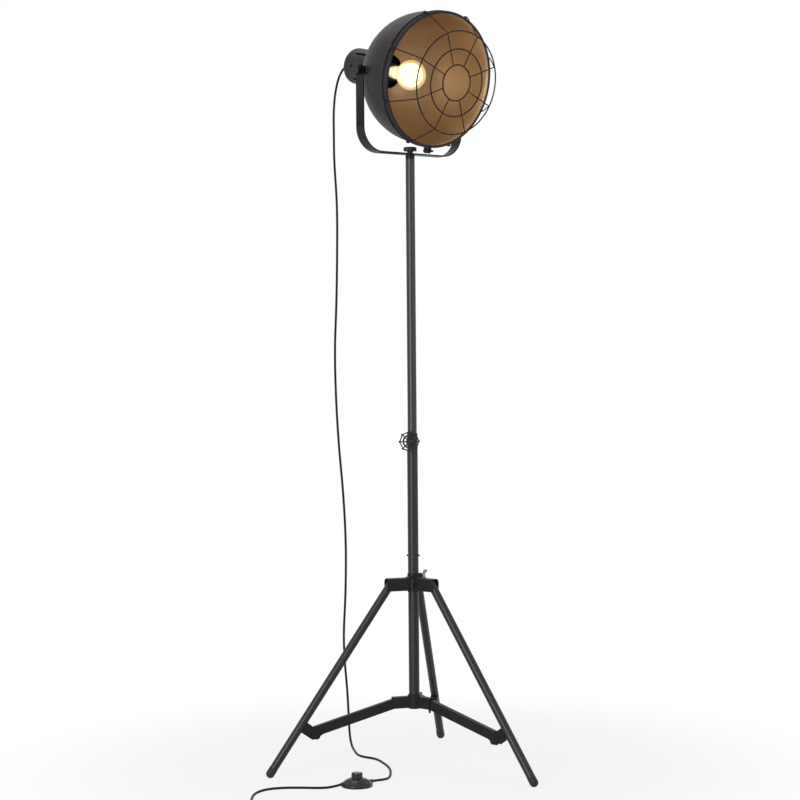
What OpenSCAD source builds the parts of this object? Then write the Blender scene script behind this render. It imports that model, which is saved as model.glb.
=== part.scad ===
// Tripod floor lamp: folding three-legged stand, height-adjustable mast,
// U-shaped yoke and a tilting spotlight head with a wire guard.
// Millimetres, +Z up, floor at z = 0. The back leg points along +Y.

/* [Post] */
// Outer diameter of the fixed post tubes
post_d = 24.5; // [22:0.5:30]
// Wall thickness of the post tubes
post_wall = 1; // [0.8:0.1:1.4]
// How far the post reaches below the strut pivots
post_below = 14.5; // [13.5:0.5:24]
// Gap between the top of the crown and the seam of the two post tubes
seam_gap = 32; // [26:1:80]
// Length of the upper post tube
post_upper_len = 289; // [240:1:400]
// Length of the sleeve inside the post joint
sleeve_len = 64; // [50:1:90]
// Height of the cross pin above the seam
joint_pin_up = 9; // [6:0.5:10]
// Diameter of the cross pin
joint_pin_d = 3; // [2:0.5:4]
// Length of the cross pin with its heads
joint_pin_w = 31; // [30.5:0.5:40]
// Height of the guide bush in the post top
bush_h = 30; // [28:1:60]
// Width of the rim that the bush shows above the post
bush_rim_h = 1.5; // [1:0.5:4]
// Depth of the clamp screw below the post top
clamp_down = 16; // [11:0.5:18]
// Outer diameter of the clamp boss
clamp_boss_d = 15; // [13:0.5:18]
// Reach of the clamp boss from the post axis
clamp_boss_reach = 25; // [18:0.5:26]
// Diameter of the clamp screw
clamp_screw_d = 8; // [5:0.5:9]

/* [Tripod] */
// Angle of the open legs from the vertical
leg_angle = 34.9; // [30:0.1:38]
// Leg length from the top pivot to the centre of the foot ball
leg_len = 505; // [460:1:600]
// Outer diameter of the leg tubes
leg_d = 19; // [16:0.5:21]
// Wall thickness of the leg tubes
leg_wall = 1.2; // [0.8:0.1:2]
// Distance of the leg pivots from the post axis
leg_pivot_r = 56.1; // [52:0.1:70]
// Diameter of the leg pivot pins
leg_pin_d = 6; // [4:0.5:7]
// Rubber thickness of the foot cap around the tube
foot_wall = 0.6; // [0.5:0.1:3]
// Length of the sleeve of the foot cap
foot_sleeve = 14; // [8:1:40]
// Depth of the flat sole cut from the foot ball
sole_cut = 0.6; // [0.4:0.1:2]
// Height of the crown arms
crown_arm_h = 29; // [28:0.5:34]
// Reach of the crown arms past the leg pivots
crown_arm_over = 10.9; // [10:0.1:16]
// Sheet thickness of the crown arms
crown_sheet = 1.2; // [1:0.1:2]
// Wall of the crown collar around the post
collar_wall = 1.7; // [1.5:0.1:4]
// Height of the crown collar
collar_h = 42.5; // [41:0.5:60]
// Rise of the cone on top of the crown
crown_cone_h = 3.5; // [2:0.5:3.5]
// Diameter of the crown front bolt head
crown_bolt_d = 9; // [6:0.5:10]
// Span of the wing bolt across its wings
wing_span = 26; // [18:1:30]
// Diameter of the wing bolt stem
wing_stem_d = 6; // [4:0.5:7]

/* [Struts] */
// Height of the strut pivots above the floor
hub_z = 151.5; // [145:0.5:175]
// Distance of the strut pivots from the post axis
hub_pivot_r = 44; // [38:0.5:46]
// Height of the bottom hub arms
hub_arm_h = 26; // [25:0.5:28]
// Reach of the hub arms past the strut pivots
hub_arm_over = 9; // [7:0.5:10]
// Height of the struts
strut_h = 22; // [18:0.5:22.5]
// Width of the struts
strut_w = 14; // [12:0.5:15]
// Sheet thickness of struts, hub arms and leg brackets
sheet = 1.5; // [1:0.1:2]
// Distance of the knee pin from the foot ball centre, along the leg
knee_up = 127; // [110:1:150]
// Distance of the knee pin from the leg axis
knee_in = 42.5; // [38:0.5:50]
// Drop of the knee pin below the strut centre line
knee_drop = 9.5; // [7:0.5:11]
// Width of the leg bracket along the leg
bracket_w = 26; // [24:0.5:30]
// Diameter of the strut pins
strut_pin_d = 5; // [4:0.5:6]

/* [Mast] */
// Outer diameter of the sliding mast
mast_d = 21; // [16:0.1:21.3]
// Wall thickness of the mast tube
mast_wall = 1.2; // [0.8:0.1:2]
// Mast length inside the post
mast_insert = 209; // [190:1:225]
// Mast length shown above the post, up to the yoke
mast_show = 639; // [400:1:700]
// Height of the solid plug that shows on top of the mast
plug_h = 9.5; // [6:0.5:20]
// Diameter of the stud that carries the yoke
stud_d = 8; // [6:0.5:9]

/* [Handwheel] */
// Outer diameter over the handwheel beads
wheel_d = 48; // [42:1:60]
// Distance of the wheel centre in front of the post axis
wheel_out = 36; // [35:0.5:44]
// Diameter of the inner ring
wheel_ring_d = 32; // [24:1:34]
// Diameter of the wheel hub
wheel_hub_d = 14; // [13:0.5:18]
// Thickness of the wheel hub
wheel_hub_h = 15; // [10:0.5:17]
// Diameter of the rim beads
wheel_bead_d = 6; // [4:0.5:7]

/* [Yoke] */
// Width of the yoke strap
strap_w = 27; // [24:0.5:32]
// Thickness of the yoke strap
strap_t = 3; // [2.5:0.1:5]
// Distance of each yoke arm from the centre line
yoke_half = 145; // [144.5:0.5:160]
// Height of the tilt pivots above the strap top
yoke_rise = 180; // [176:1:220]
// Inside bend radius of the yoke corners
yoke_bend = 53; // [30:1:60]
// Diameter of the centre knob
centre_knob_d = 30; // [22:1:36]
// Height of the head of the centre knob
centre_knob_h = 9; // [6:0.5:11]
// Diameter of the side knobs
side_knob_d = 26; // [20:1:34]
// Stand-out of the side knobs from the yoke arms
side_knob_out = 14; // [10:0.5:20]

/* [Head] */
// Turn of the head about the mast
head_yaw = -39.3; // [-60:0.1:0]
// Downward tilt of the head
head_tilt = 12.5; // [0:0.1:20]
// Radius of the shade dome and skirt
shade_r = 149; // [144:0.5:149]
// Sheet thickness of the shade
shade_wall = 1.2; // [1:0.1:2]
// Distance from the tilt axis forward to the dome centre
dome_s = 65; // [60:0.5:75]
// Length of the straight skirt
skirt_len = 41; // [30:0.5:60]
// Width of the rim band
band_w = 19; // [15:0.5:26]
// Drop of the two ears below the rim band
ear_drop = 13; // [12:0.5:18]
// Height of the rim band beads above the skirt
bead_h = 5; // [3.5:0.1:7]
// Outer radius of the socket housing
housing_r = 42; // [40:0.5:46]
// Length of the socket housing
housing_len = 118.4; // [108:0.2:140]
// Sheet thickness of the socket housing
housing_wall = 1.5; // [1:0.1:2.5]
// Width of the cooling slots in the housing
slot_w = 6; // [3:0.5:9]
// Length of the cooling slots in the housing
slot_len = 70; // [40:1:78]
// Diameter of the bulb globe
globe_d = 69; // [60:0.5:75]
// Distance from the tilt axis forward to the globe centre
globe_s = 6; // [0:0.5:10]
// Diameter of the bulb neck
neck_d = 31; // [28:0.5:34]
// Length of the bulb behind its globe, down to the screw contact
neck_len = 60; // [59:0.5:62]
// Outer radius of the lamp holder
holder_r = 19.5; // [18:0.5:24]
// Reach of the lamp holder behind the bulb
holder_back = 38; // [20:0.5:42]
// Reach of the lamp holder over the screw base
holder_front = 30; // [28:0.5:31]

/* [Guard] */
// Distance of the guard face in front of the rim
guard_out = 61.6; // [45:0.2:80]
// Radius of the inner guard ring
ring1_r = 40; // [30:0.5:50]
// Radius of the middle guard ring
ring2_r = 75; // [65:0.5:85]
// Radius of the outer guard ring
ring3_r = 115; // [100:0.5:125]
// Diameter of the guard ring wire
ring_wire_d = 3.2; // [2.8:0.1:4]
// Diameter of the guard spoke wire
spoke_wire_d = 2.6; // [2:0.1:2.7]

/* [Cord] */
// Diameter of the mains cord
cord_d = 5.5; // [5:0.1:6]
// Outer radius of the foot switch
switch_r = 35; // [32:0.5:36]
// Height of the foot switch base
switch_h = 18.5; // [16:0.5:20]
// Diameter of the foot switch button
button_d = 25; // [20:0.5:27]
// Travel of the foot switch button
button_travel = 3; // [2:0.5:3.5]

/* [Hidden] */
$fn = 96;
big = 1000;
run = 0.05;            // running clearance of a pin or slide
side_gap = 0.3;        // side clearance of a folding member
weld_gap = 0.2;        // gap left at the welds of the guard wires
back_az = 90;
left_az = 210;
right_az = -30;
post_r = post_d / 2;
post_bore = post_r - post_wall;
leg_r = leg_d / 2;
mast_r = mast_d / 2;
foot_r = leg_r + foot_wall;
foot_z = foot_r - sole_cut;
foot_out = leg_pivot_r + leg_len * sin(leg_angle);
crown_z = foot_z + leg_len * cos(leg_angle);
crown_top = crown_z + crown_arm_h / 2;
collar_r = post_r + run + collar_wall;
collar_top = crown_z - 18 + collar_h;
crown_half = leg_r + side_gap + crown_sheet;
post_base = hub_z - post_below;
seam_z = collar_top + seam_gap;
post_top = seam_z + post_upper_len;
clamp_z = post_top - clamp_down;
mast_base = post_top - mast_insert;
rim_top = post_top + bush_rim_h;
strap_z = rim_top + mast_show;
tilt_z = strap_z + strap_t + yoke_rise;
knee_s = leg_len - knee_up;
knee_r = leg_pivot_r + knee_s * sin(leg_angle) - knee_in * cos(leg_angle);
knee_z = crown_z - knee_s * cos(leg_angle) - knee_in * sin(leg_angle);
strut_pin_len = sqrt(pow(knee_r - hub_pivot_r, 2) + pow(hub_z - knee_z, 2));
strut_slope = atan2(hub_z - knee_z, knee_r - hub_pivot_r) - asin(knee_drop / strut_pin_len);
strut_len = sqrt(pow(strut_pin_len, 2) - pow(knee_drop, 2));
strut_half = strut_w / 2;
fork_in = strut_half + side_gap;
fork_half = fork_in + sheet;
rim_s = dome_s + skirt_len;
band_s = rim_s + 1.5 - band_w;
guard_s = rim_s + guard_out;
clip_s = rim_s - 12;
clip_r = shade_r + bead_h + 2.5;
back_r = 41.5;
base_r = 13.2;
base_len = 27;
back_s = dome_s - sqrt(pow(shade_r, 2) - pow(back_r, 2));
housing_back = back_s - housing_len;
bulb_back = globe_s - globe_d / 2 - neck_len;
arm_in = yoke_half - strap_t / 2;
arm_out = yoke_half + strap_t / 2;
stud_r = stud_d / 2;
screw_r = clamp_screw_d / 2;
wing_r = wing_stem_d / 2;
head_y = -sin(head_yaw) * cos(head_tilt);
front_y = max(foot_out / 2 + foot_r,
  guard_s * head_y + ring3_r * sqrt(1 - head_y * head_y) + ring_wire_d / 2);
post_y = (front_y - foot_out - foot_r) / 2;
cord_r = cord_d / 2;
floor_z = 3;
gland_len = 24;
switch_at = [-87, -227];
switch_dir = [0.8, 0.6];
coil_at = [-226, -516];
coil_r = 30;
plug_x = -192;
plug_y = -551.5;
plug_z = 7;

// Route of the mains cord from the head to the foot switch; the post axis is at x = y = 0.
upper_route = [
  [-178, 146, 1643], [-190, 153, 1635], [-200, 159, 1621], [-208, 164, 1600], [-214, 166, 1570],
  [-217, 166, 1530], [-217, 166, 1480], [-217, 167, 1424], [-212, 170, 1308], [-213, 172, 1194],
  [-216, 173, 1079], [-221, 175, 964], [-220, 178, 848], [-215, 183, 732], [-207, 189, 616],
  [-203, 194, 500], [-205, 197, 383], [-211, 200, 270], [-209, 202, 200], [-205, 206, 138],
  [-202, 209, 60], [-200, 207, 27], [-195, 199, 10], [-188, 182, 4], [-178, 155, 3],
  [-165, 118, 3], [-151, 89, 3], [-136, 74, 3], [-119, 68, 3], [-104, 58, 3], [-92, 40, 3],
  [-75, 10, 3], [-60, -20, 3], [-47, -55, 3], [-39, -90, 3], [-33, -125, 3], [-32, -155, 4],
  [-35, -175, 6], [-43, -191, 8]
];
// Route of the cord from the foot switch to the coil.
lower_route = [
  [-130, -259, 5], [-146, -267, 3], [-170, -271, 3], [-198, -273, 3], [-226, -277, 3],
  [-251, -285, 3], [-270, -298, 3], [-282, -318, 3], [-287, -345, 3], [-285, -375, 3],
  [-278, -410, 3], [-269, -450, 3], [-263, -485, 3]
];

// ---- small functions -------------------------------------------------

function arc_pts(cx, cy, r, a0, a1, n) =
  [for (i = [0:n]) [cx + r * cos(a0 + (a1 - a0) * i / n), cy + r * sin(a0 + (a1 - a0) * i / n)]];
function unit(v) = v / norm(v);
function tangent(p, i) = unit(p[min(i + 1, len(p) - 1)] - p[max(i - 1, 0)]);
function side_dirs(p, i, n) =
  let (t = tangent(p, i), m = unit(n - (n * t) * t))
  i == len(p) - 1 ? [m] : concat([m], side_dirs(p, i + 1, m));
function ring_pts(p, i, m, r, sides) =
  let (t = tangent(p, i), b = cross(t, m))
  [for (k = [0:sides - 1]) p[i] + r * (cos(360 * k / sides) * m + sin(360 * k / sides) * b)];
function tube_pts(p, r, sides) =
  let (m = side_dirs(p, 0, [0.6, 0.7, -0.4]))
  [for (i = [0:len(p) - 1]) for (q = ring_pts(p, i, m[i], r, sides)) q];
function tube_faces(n, sides) = concat(
  [[for (k = [0:sides - 1]) k]],
  [for (i = [0:n - 2]) for (k = [0:sides - 1])
    [i * sides + k, (i + 1) * sides + k, i * sides + (k + 1) % sides]],
  [for (i = [0:n - 2]) for (k = [0:sides - 1])
    [(i + 1) * sides + k, (i + 1) * sides + (k + 1) % sides, i * sides + (k + 1) % sides]],
  [[for (k = [0:sides - 1]) (n - 1) * sides + sides - 1 - k]]
);

// ---- frames ----------------------------------------------------------

module at_post() {
  translate([0, post_y, 0]) children();
}
module radial(az) {
  at_post() rotate([0, 0, az]) children();
}
// X runs down the leg, -Z points inward to the post.
module leg_frame(az) {
  radial(az) translate([leg_pivot_r, 0, crown_z]) rotate([0, 90 - leg_angle, 0]) children();
}
// X runs along the strut from the hub to the knee.
module strut_frame(az) {
  radial(az) translate([hub_pivot_r, 0, hub_z]) rotate([0, strut_slope, 0]) children();
}
// Z is zero at the underside of the strap, X points where the lamp looks.
module yoke_frame() {
  at_post() translate([0, 0, strap_z]) rotate([0, 0, head_yaw]) children();
}
// X is the axis of the shade, Y the tilt axis.
module head_frame() {
  at_post() translate([0, 0, tilt_z]) rotate([0, 0, head_yaw]) rotate([0, head_tilt, 0]) children();
}
module along_x(from, to, r) {
  translate([from, 0, 0]) rotate([0, 90, 0]) cylinder(h = to - from, r = r);
}
module along_y(from, to, r) {
  translate([0, to, 0]) rotate([90, 0, 0]) cylinder(h = to - from, r = r);
}
module spin_x() {
  rotate([0, 90, 0]) rotate_extrude($fn = 128) children();
}
module plate_y(half) {
  rotate([90, 0, 0]) translate([0, 0, -half]) linear_extrude(2 * half) children();
}

// ---- post ------------------------------------------------------------

module post_lower_tube() {
  color("#2c2a2d") at_post() difference() {
    translate([0, 0, post_base]) cylinder(h = seam_z - post_base, r = post_r);
    translate([0, 0, post_base - 1]) cylinder(h = seam_z - post_base + 2, r = post_bore);
  }
}
module post_upper_tube() {
  color("#343236") at_post() difference() {
    translate([0, 0, seam_z]) cylinder(h = post_upper_len, r = post_r);
    translate([0, 0, seam_z - 1]) cylinder(h = post_upper_len + 2, r = post_bore);
    translate([0, 0, seam_z + joint_pin_up]) along_x(-post_d, post_d, joint_pin_d / 2);
    translate([0, 0, clamp_z]) along_y(-post_d, 0, screw_r + run);
  }
}
module joint_sleeve() {
  color("#8a8c90") at_post() difference() {
    translate([0, 0, seam_z - sleeve_len + 14]) cylinder(h = sleeve_len, r = post_bore);
    translate([0, 0, seam_z - sleeve_len]) cylinder(h = sleeve_len + 20, r = post_bore - 1.4);
    translate([0, 0, seam_z + joint_pin_up]) along_x(-post_d, post_d, joint_pin_d / 2);
  }
}
module joint_pin() {
  color("#1c1b1d") at_post() translate([0, 0, seam_z + joint_pin_up]) {
    along_x(-post_r, post_r, joint_pin_d / 2);
    along_x(post_r, joint_pin_w / 2, joint_pin_d * 0.8);
    along_x(-joint_pin_w / 2, -post_r, joint_pin_d * 0.8);
  }
}
module post_bush() {
  color("#1b1b1c") at_post() difference() {
    union() {
      translate([0, 0, post_top - bush_h]) cylinder(h = bush_h, r = post_bore);
      translate([0, 0, post_top]) cylinder(h = bush_rim_h, r = post_r);
    }
    translate([0, 0, post_top - bush_h - 1]) cylinder(h = bush_h + bush_rim_h + 2, r = mast_r + run);
    translate([0, 0, clamp_z]) along_y(-post_d, 0, screw_r + run);
  }
}
module clamp_boss() {
  color("#2a282b") at_post() difference() {
    translate([0, 0, clamp_z]) along_y(-clamp_boss_reach, -post_r / 2, clamp_boss_d / 2);
    translate([0, 0, clamp_z - clamp_boss_d]) cylinder(h = 2 * clamp_boss_d, r = post_r);
    translate([0, 0, clamp_z]) along_y(-clamp_boss_reach - 1, 0, screw_r + run);
  }
}
module hub_arm() {
  plate_y(fork_half) polygon([
    [post_r - 2, -hub_arm_h / 2],
    [hub_pivot_r + hub_arm_over, -hub_arm_h / 2],
    [hub_pivot_r + hub_arm_over, hub_arm_h / 2],
    [post_r - 2, hub_arm_h / 2]
  ]);
}
module bottom_hub() {
  color("#2a282b") difference() {
    union() {
      at_post() translate([0, 0, post_base]) cylinder(h = post_below + hub_arm_h / 2, r = post_r + 2);
      at_post() translate([0, 0, hub_z + hub_arm_h / 2 - 0.5])
        cylinder(h = 5, r1 = fork_half + 8, r2 = post_r + 1);
      for (az = [back_az, left_az, right_az])
        radial(az) translate([0, 0, hub_z]) hub_arm();
    }
    at_post() translate([0, 0, post_base - 1]) cylinder(h = post_below + hub_arm_h, r = post_r);
    for (az = [back_az, left_az, right_az])
      radial(az) translate([0, 0, hub_z]) {
        translate([hub_pivot_r - strut_h / 2 - 3, -fork_in, -hub_arm_h])
          cube([big, 2 * fork_in, hub_arm_h + strut_h / 2 + 0.5]);
        translate([hub_pivot_r, 0, 0]) along_y(-fork_half - 1, fork_half + 1, strut_pin_d / 2);
      }
  }
}
module hub_pins() {
  color("#7d7f84")
    for (az = [back_az, left_az, right_az])
      radial(az) translate([hub_pivot_r, 0, hub_z]) {
        along_y(-fork_half, fork_half, strut_pin_d / 2);
        along_y(fork_half, fork_half + 1.8, strut_pin_d * 0.8);
        along_y(-fork_half - 1.8, -fork_half, strut_pin_d * 0.8);
      }
}
module post_end_cap() {
  color("#171717") at_post() {
    translate([0, 0, post_base - 1.5]) cylinder(h = 1.5, r = post_r + 1);
    translate([0, 0, post_base]) cylinder(h = 10, r = post_bore);
  }
}

// ---- crown and wing bolt ---------------------------------------------

module crown_arm() {
  end = leg_pivot_r + crown_arm_over;
  plate_y(crown_half) polygon(concat(
    [[post_r, -crown_arm_h / 2], [end, -crown_arm_h / 2]],
    arc_pts(end - 7, crown_arm_h / 2 - 7, 7, 0, 90, 8),
    [[post_r, crown_arm_h / 2]]
  ));
}
wing_z = collar_top - 5.5;
wing_az = 30;
bolt_z = crown_z - 3.4;
screw_z = collar_top - 3.8;
module crown() {
  color("#2a282b") difference() {
    union() {
      at_post() translate([0, 0, collar_top - collar_h]) cylinder(h = collar_h, r = collar_r);
      at_post() translate([0, 0, crown_top - 0.5])
        cylinder(h = crown_cone_h, r1 = collar_r + 6, r2 = collar_r - 0.5);
      for (az = [back_az, left_az, right_az])
        radial(az) translate([0, 0, crown_z]) crown_arm();
      radial(wing_az) translate([0, 0, wing_z]) along_x(post_r + 0.5, collar_r + 6, wing_r + 2.4);
      at_post() translate([0, 0, bolt_z]) along_y(-collar_r - 2.5, -post_r - 0.5, crown_bolt_d / 2 + 1);
    }
    at_post() cylinder(h = big, r = post_r + run);
    for (az = [back_az, left_az, right_az])
      radial(az) translate([leg_pivot_r, 0, crown_z]) {
        translate([-leg_r - 16, -leg_r - side_gap, -crown_arm_h])
          cube([big, leg_d + 2 * side_gap, crown_arm_h * 1.5 - crown_sheet]);
        along_y(-crown_half - 1, crown_half + 1, leg_pin_d / 2);
      }
    radial(wing_az) translate([0, 0, wing_z]) along_x(0, big, wing_r + run);
    at_post() translate([0, 0, bolt_z]) along_y(-big, 0, crown_bolt_d / 4);
    at_post() translate([0, 0, screw_z]) along_y(-big, 0, 1.5);
  }
}
module crown_pins() {
  color("#7d7f84")
    for (az = [back_az, left_az, right_az])
      radial(az) translate([leg_pivot_r, 0, crown_z]) {
        along_y(-crown_half, crown_half, leg_pin_d / 2);
        along_y(crown_half, crown_half + 1.6, leg_pin_d * 0.75);
        along_y(-crown_half - 1.6, -crown_half, leg_pin_d * 0.75);
      }
}
module crown_screws() {
  color("#56575c") at_post() {
    translate([0, 0, bolt_z]) {
      along_y(-collar_r - 2.5, -post_r - 0.4, crown_bolt_d / 4);
      along_y(-collar_r - 5.5, -collar_r - 2.5, crown_bolt_d / 2);
    }
    translate([0, 0, screw_z]) {
      along_y(-collar_r, -post_r - 0.4, 1.5);
      along_y(-collar_r - 1.8, -collar_r, 2.6);
    }
  }
}
module wing_bolt() {
  color("#b9bbbe") radial(wing_az) translate([0, 0, wing_z]) {
    along_x(post_r + 0.2, collar_r + 6.5, wing_r);
    difference() {
      union() {
        along_x(collar_r + 6.5, collar_r + 14, wing_r + 2);
        for (m = [0, 1]) mirror([0, 0, m]) plate_y(1.2) polygon([
          [collar_r + 8.5, wing_r],
          [collar_r + 10, wing_span / 2 - 2],
          [collar_r + 13, wing_span / 2],
          [collar_r + 19, wing_span / 2],
          [collar_r + 20.5, wing_span / 2 - 3],
          [collar_r + 14, wing_r]
        ]);
      }
      along_x(0, collar_r + 6.4, wing_r);
    }
  }
}

// ---- legs ------------------------------------------------------------

module leg_tube(az) {
  leg_frame(az) difference() {
    along_x(-7, leg_len - 2, leg_r);
    along_x(-8, leg_len, leg_r - leg_wall);
    along_y(-leg_d, leg_d, leg_pin_d / 2 + run);
  }
}
module leg_end(az) {
  leg_frame(az) difference() {
    union() {
      along_x(-8.5, -7, leg_r);
      along_x(-7, 14, leg_r - leg_wall);
    }
    along_y(-leg_d, leg_d, leg_pin_d / 2 + run);
  }
}
module leg_bracket(az) {
  leg_frame(az) difference() {
    union() {
      plate_y(fork_half) polygon(concat(
        [[knee_s - bracket_w / 2, 0], [knee_s - bracket_w / 2, -knee_in + 4]],
        arc_pts(knee_s, -knee_in, strut_pin_d / 2 + 6, -170, -10, 10),
        [[knee_s + bracket_w / 2, -knee_in + 4], [knee_s + bracket_w / 2, 0]]
      ));
      for (m = [0, 1]) mirror([0, m, 0])
        translate([knee_s, 0, -knee_in]) along_y(fork_half, fork_half + 1.8, strut_pin_d * 0.8);
    }
    along_x(0, leg_len, leg_r);
    translate([knee_s - bracket_w, -fork_in, -knee_in - bracket_w])
      cube([2 * bracket_w, 2 * fork_in, knee_in + bracket_w - leg_r - sheet]);
  }
}
module leg_foot(az) {
  difference() {
    leg_frame(az) difference() {
      union() {
        along_x(leg_len - foot_sleeve, leg_len, foot_r);
        difference() {
          translate([leg_len, 0, 0]) sphere(r = foot_r);
          translate([leg_len - 2 * foot_r, -foot_r - 1, -foot_r - 1])
            cube([2 * foot_r, 2 * foot_r + 2, 2 * foot_r + 2]);
        }
      }
      along_x(leg_len - foot_sleeve - 1, leg_len - 2, leg_r);
    }
    translate([-big, -big, -big]) cube([2 * big, 2 * big, big]);
  }
}
module leg_back() {
  color("#363438") leg_tube(back_az);
}
module leg_left() {
  color("#363438") leg_tube(left_az);
}
module leg_right() {
  color("#363438") leg_tube(right_az);
}
module leg_back_end() {
  color("#171717") leg_end(back_az);
}
module leg_left_end() {
  color("#171717") leg_end(left_az);
}
module leg_right_end() {
  color("#171717") leg_end(right_az);
}
module leg_back_bracket() {
  color("#2a282b") leg_bracket(back_az);
}
module leg_left_bracket() {
  color("#2a282b") leg_bracket(left_az);
}
module leg_right_bracket() {
  color("#2a282b") leg_bracket(right_az);
}
module leg_back_foot() {
  color("#171717") leg_foot(back_az);
}
module leg_left_foot() {
  color("#171717") leg_foot(left_az);
}
module leg_right_foot() {
  color("#171717") leg_foot(right_az);
}

// ---- struts ----------------------------------------------------------

module strut(az) {
  h = strut_h / 2;
  tip = strut_len + strut_pin_d / 2 + 5.5;
  strut_frame(az) difference() {
    plate_y(strut_half) polygon(concat(
      arc_pts(0, 0, h, 270, 90, 12),
      [[tip - 12, h], [tip, h - 10]],
      arc_pts(strut_len, -knee_drop, strut_pin_d / 2 + 5.5, 0, -150, 10),
      [[strut_len - 16, -h]]
    ));
    translate([-big, -strut_half + sheet, -big]) cube([2 * big, strut_w - 2 * sheet, big + h - sheet]);
    along_y(-strut_w, strut_w, strut_pin_d / 2 + run);
  }
}
module strut_back() {
  color("#2e2c30") strut(back_az);
}
module strut_left() {
  color("#2e2c30") strut(left_az);
}
module strut_right() {
  color("#2e2c30") strut(right_az);
}

// ---- mast and handwheel ----------------------------------------------

module mast_tube() {
  color("#47464a") at_post() difference() {
    translate([0, 0, mast_base]) cylinder(h = strap_z - plug_h - mast_base, r = mast_r);
    translate([0, 0, mast_base - 1]) cylinder(h = strap_z - mast_base, r = mast_r - mast_wall);
  }
}
module mast_plug() {
  color("#2a282b") at_post() {
    translate([0, 0, strap_z - plug_h - 25]) cylinder(h = 25, r = mast_r - mast_wall);
    translate([0, 0, strap_z - plug_h]) cylinder(h = plug_h - 1.6, r = mast_r);
    translate([0, 0, strap_z - 1.6]) cylinder(h = 1.6 + strap_t + 14, r = stud_r - run);
  }
}
module mast_foot() {
  color("#171717") at_post() {
    translate([0, 0, mast_base]) cylinder(h = 18, r = mast_r - mast_wall);
    translate([0, 0, mast_base - 6]) cylinder(h = 6, r = post_bore - run);
  }
}
module handwheel() {
  r = wheel_d / 2 - wheel_bead_d / 2;
  color("#2a282b") at_post() translate([0, -wheel_out, clamp_z]) rotate([90, 0, 0]) difference() {
    union() {
      translate([0, 0, -wheel_hub_h / 2]) cylinder(h = wheel_hub_h, r = wheel_hub_d / 2);
      difference() {
        translate([0, 0, -1.2]) rotate(2) cylinder(h = 2.4, r = r + 1.1, $fn = 8);
        translate([0, 0, -3]) rotate(2) cylinder(h = 6, r = r - 1.3, $fn = 8);
      }
      rotate_extrude() translate([wheel_ring_d / 2 - 2, 0]) circle(r = 2, $fn = 24);
      for (a = [0:7]) rotate([0, 0, 2 + 45 * a]) {
        translate([r, 0, 0]) sphere(r = wheel_bead_d / 2, $fn = 32);
        along_x(wheel_hub_d / 2 - 1, r, 1.4, $fn = 24);
      }
    }
    translate([0, 0, -wheel_hub_h]) cylinder(h = wheel_hub_h * 1.5 - 2, r = screw_r);
  }
}
module clamp_screw() {
  color("#7d7f84") at_post() translate([0, 0, clamp_z])
    along_y(-wheel_out - wheel_hub_h / 2 + 2, -mast_r - 0.2, screw_r);
}

// ---- yoke ------------------------------------------------------------

module yoke_arm() {
  top = strap_t + yoke_rise;
  difference() {
    translate([-strap_w / 2, arm_in, yoke_bend + strap_t])
      cube([strap_w, strap_t, top + strap_w - yoke_bend - strap_t]);
    translate([0, 0, top]) difference() {
      translate([-strap_w, arm_in - 1, 0]) cube([2 * strap_w, strap_t + 2, 2 * strap_w]);
      along_y(arm_in - 2, arm_out + 2, strap_w / 2 + 0.5);
    }
    translate([0, 0, top]) along_y(arm_in - 1, arm_out + 1, stud_r);
  }
}
module yoke_corner() {
  translate([0, arm_in - yoke_bend, yoke_bend + strap_t]) rotate([90, 0, 90])
    translate([0, 0, -strap_w / 2]) rotate([0, 0, -90])
    rotate_extrude(angle = 90) translate([yoke_bend, 0]) square([strap_t, strap_w]);
}
module yoke() {
  color("#2e2c30") yoke_frame() difference() {
    union() {
      for (m = [0, 1]) mirror([0, m, 0]) {
        yoke_arm();
        yoke_corner();
      }
      translate([-strap_w / 2, yoke_bend - arm_in, 0]) cube([strap_w, 2 * (arm_in - yoke_bend), strap_t]);
    }
    translate([0, 0, -1]) cylinder(h = strap_t + 2, r = stud_r);
  }
}
module yoke_washer() {
  color("#7d7f84") yoke_frame() difference() {
    translate([0, 0, -1.5]) cylinder(h = 1.5, r = mast_r);
    translate([0, 0, -2]) cylinder(h = 3, r = stud_r);
  }
}
module yoke_knob() {
  color("#1b1b1c") yoke_frame() difference() {
    union() {
      translate([0, 0, strap_t + 0.1]) cylinder(h = 5.4, r = 6.75);
      translate([0, 0, strap_t + 5.5]) cylinder(h = centre_knob_h - 1, r = centre_knob_d / 2);
      translate([0, 0, strap_t + 4.5 + centre_knob_h])
        cylinder(h = 1, r1 = centre_knob_d / 2, r2 = centre_knob_d / 2 - 1);
    }
    cylinder(h = strap_t + 14.1, r = stud_r);
  }
}

// ---- head ------------------------------------------------------------

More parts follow.
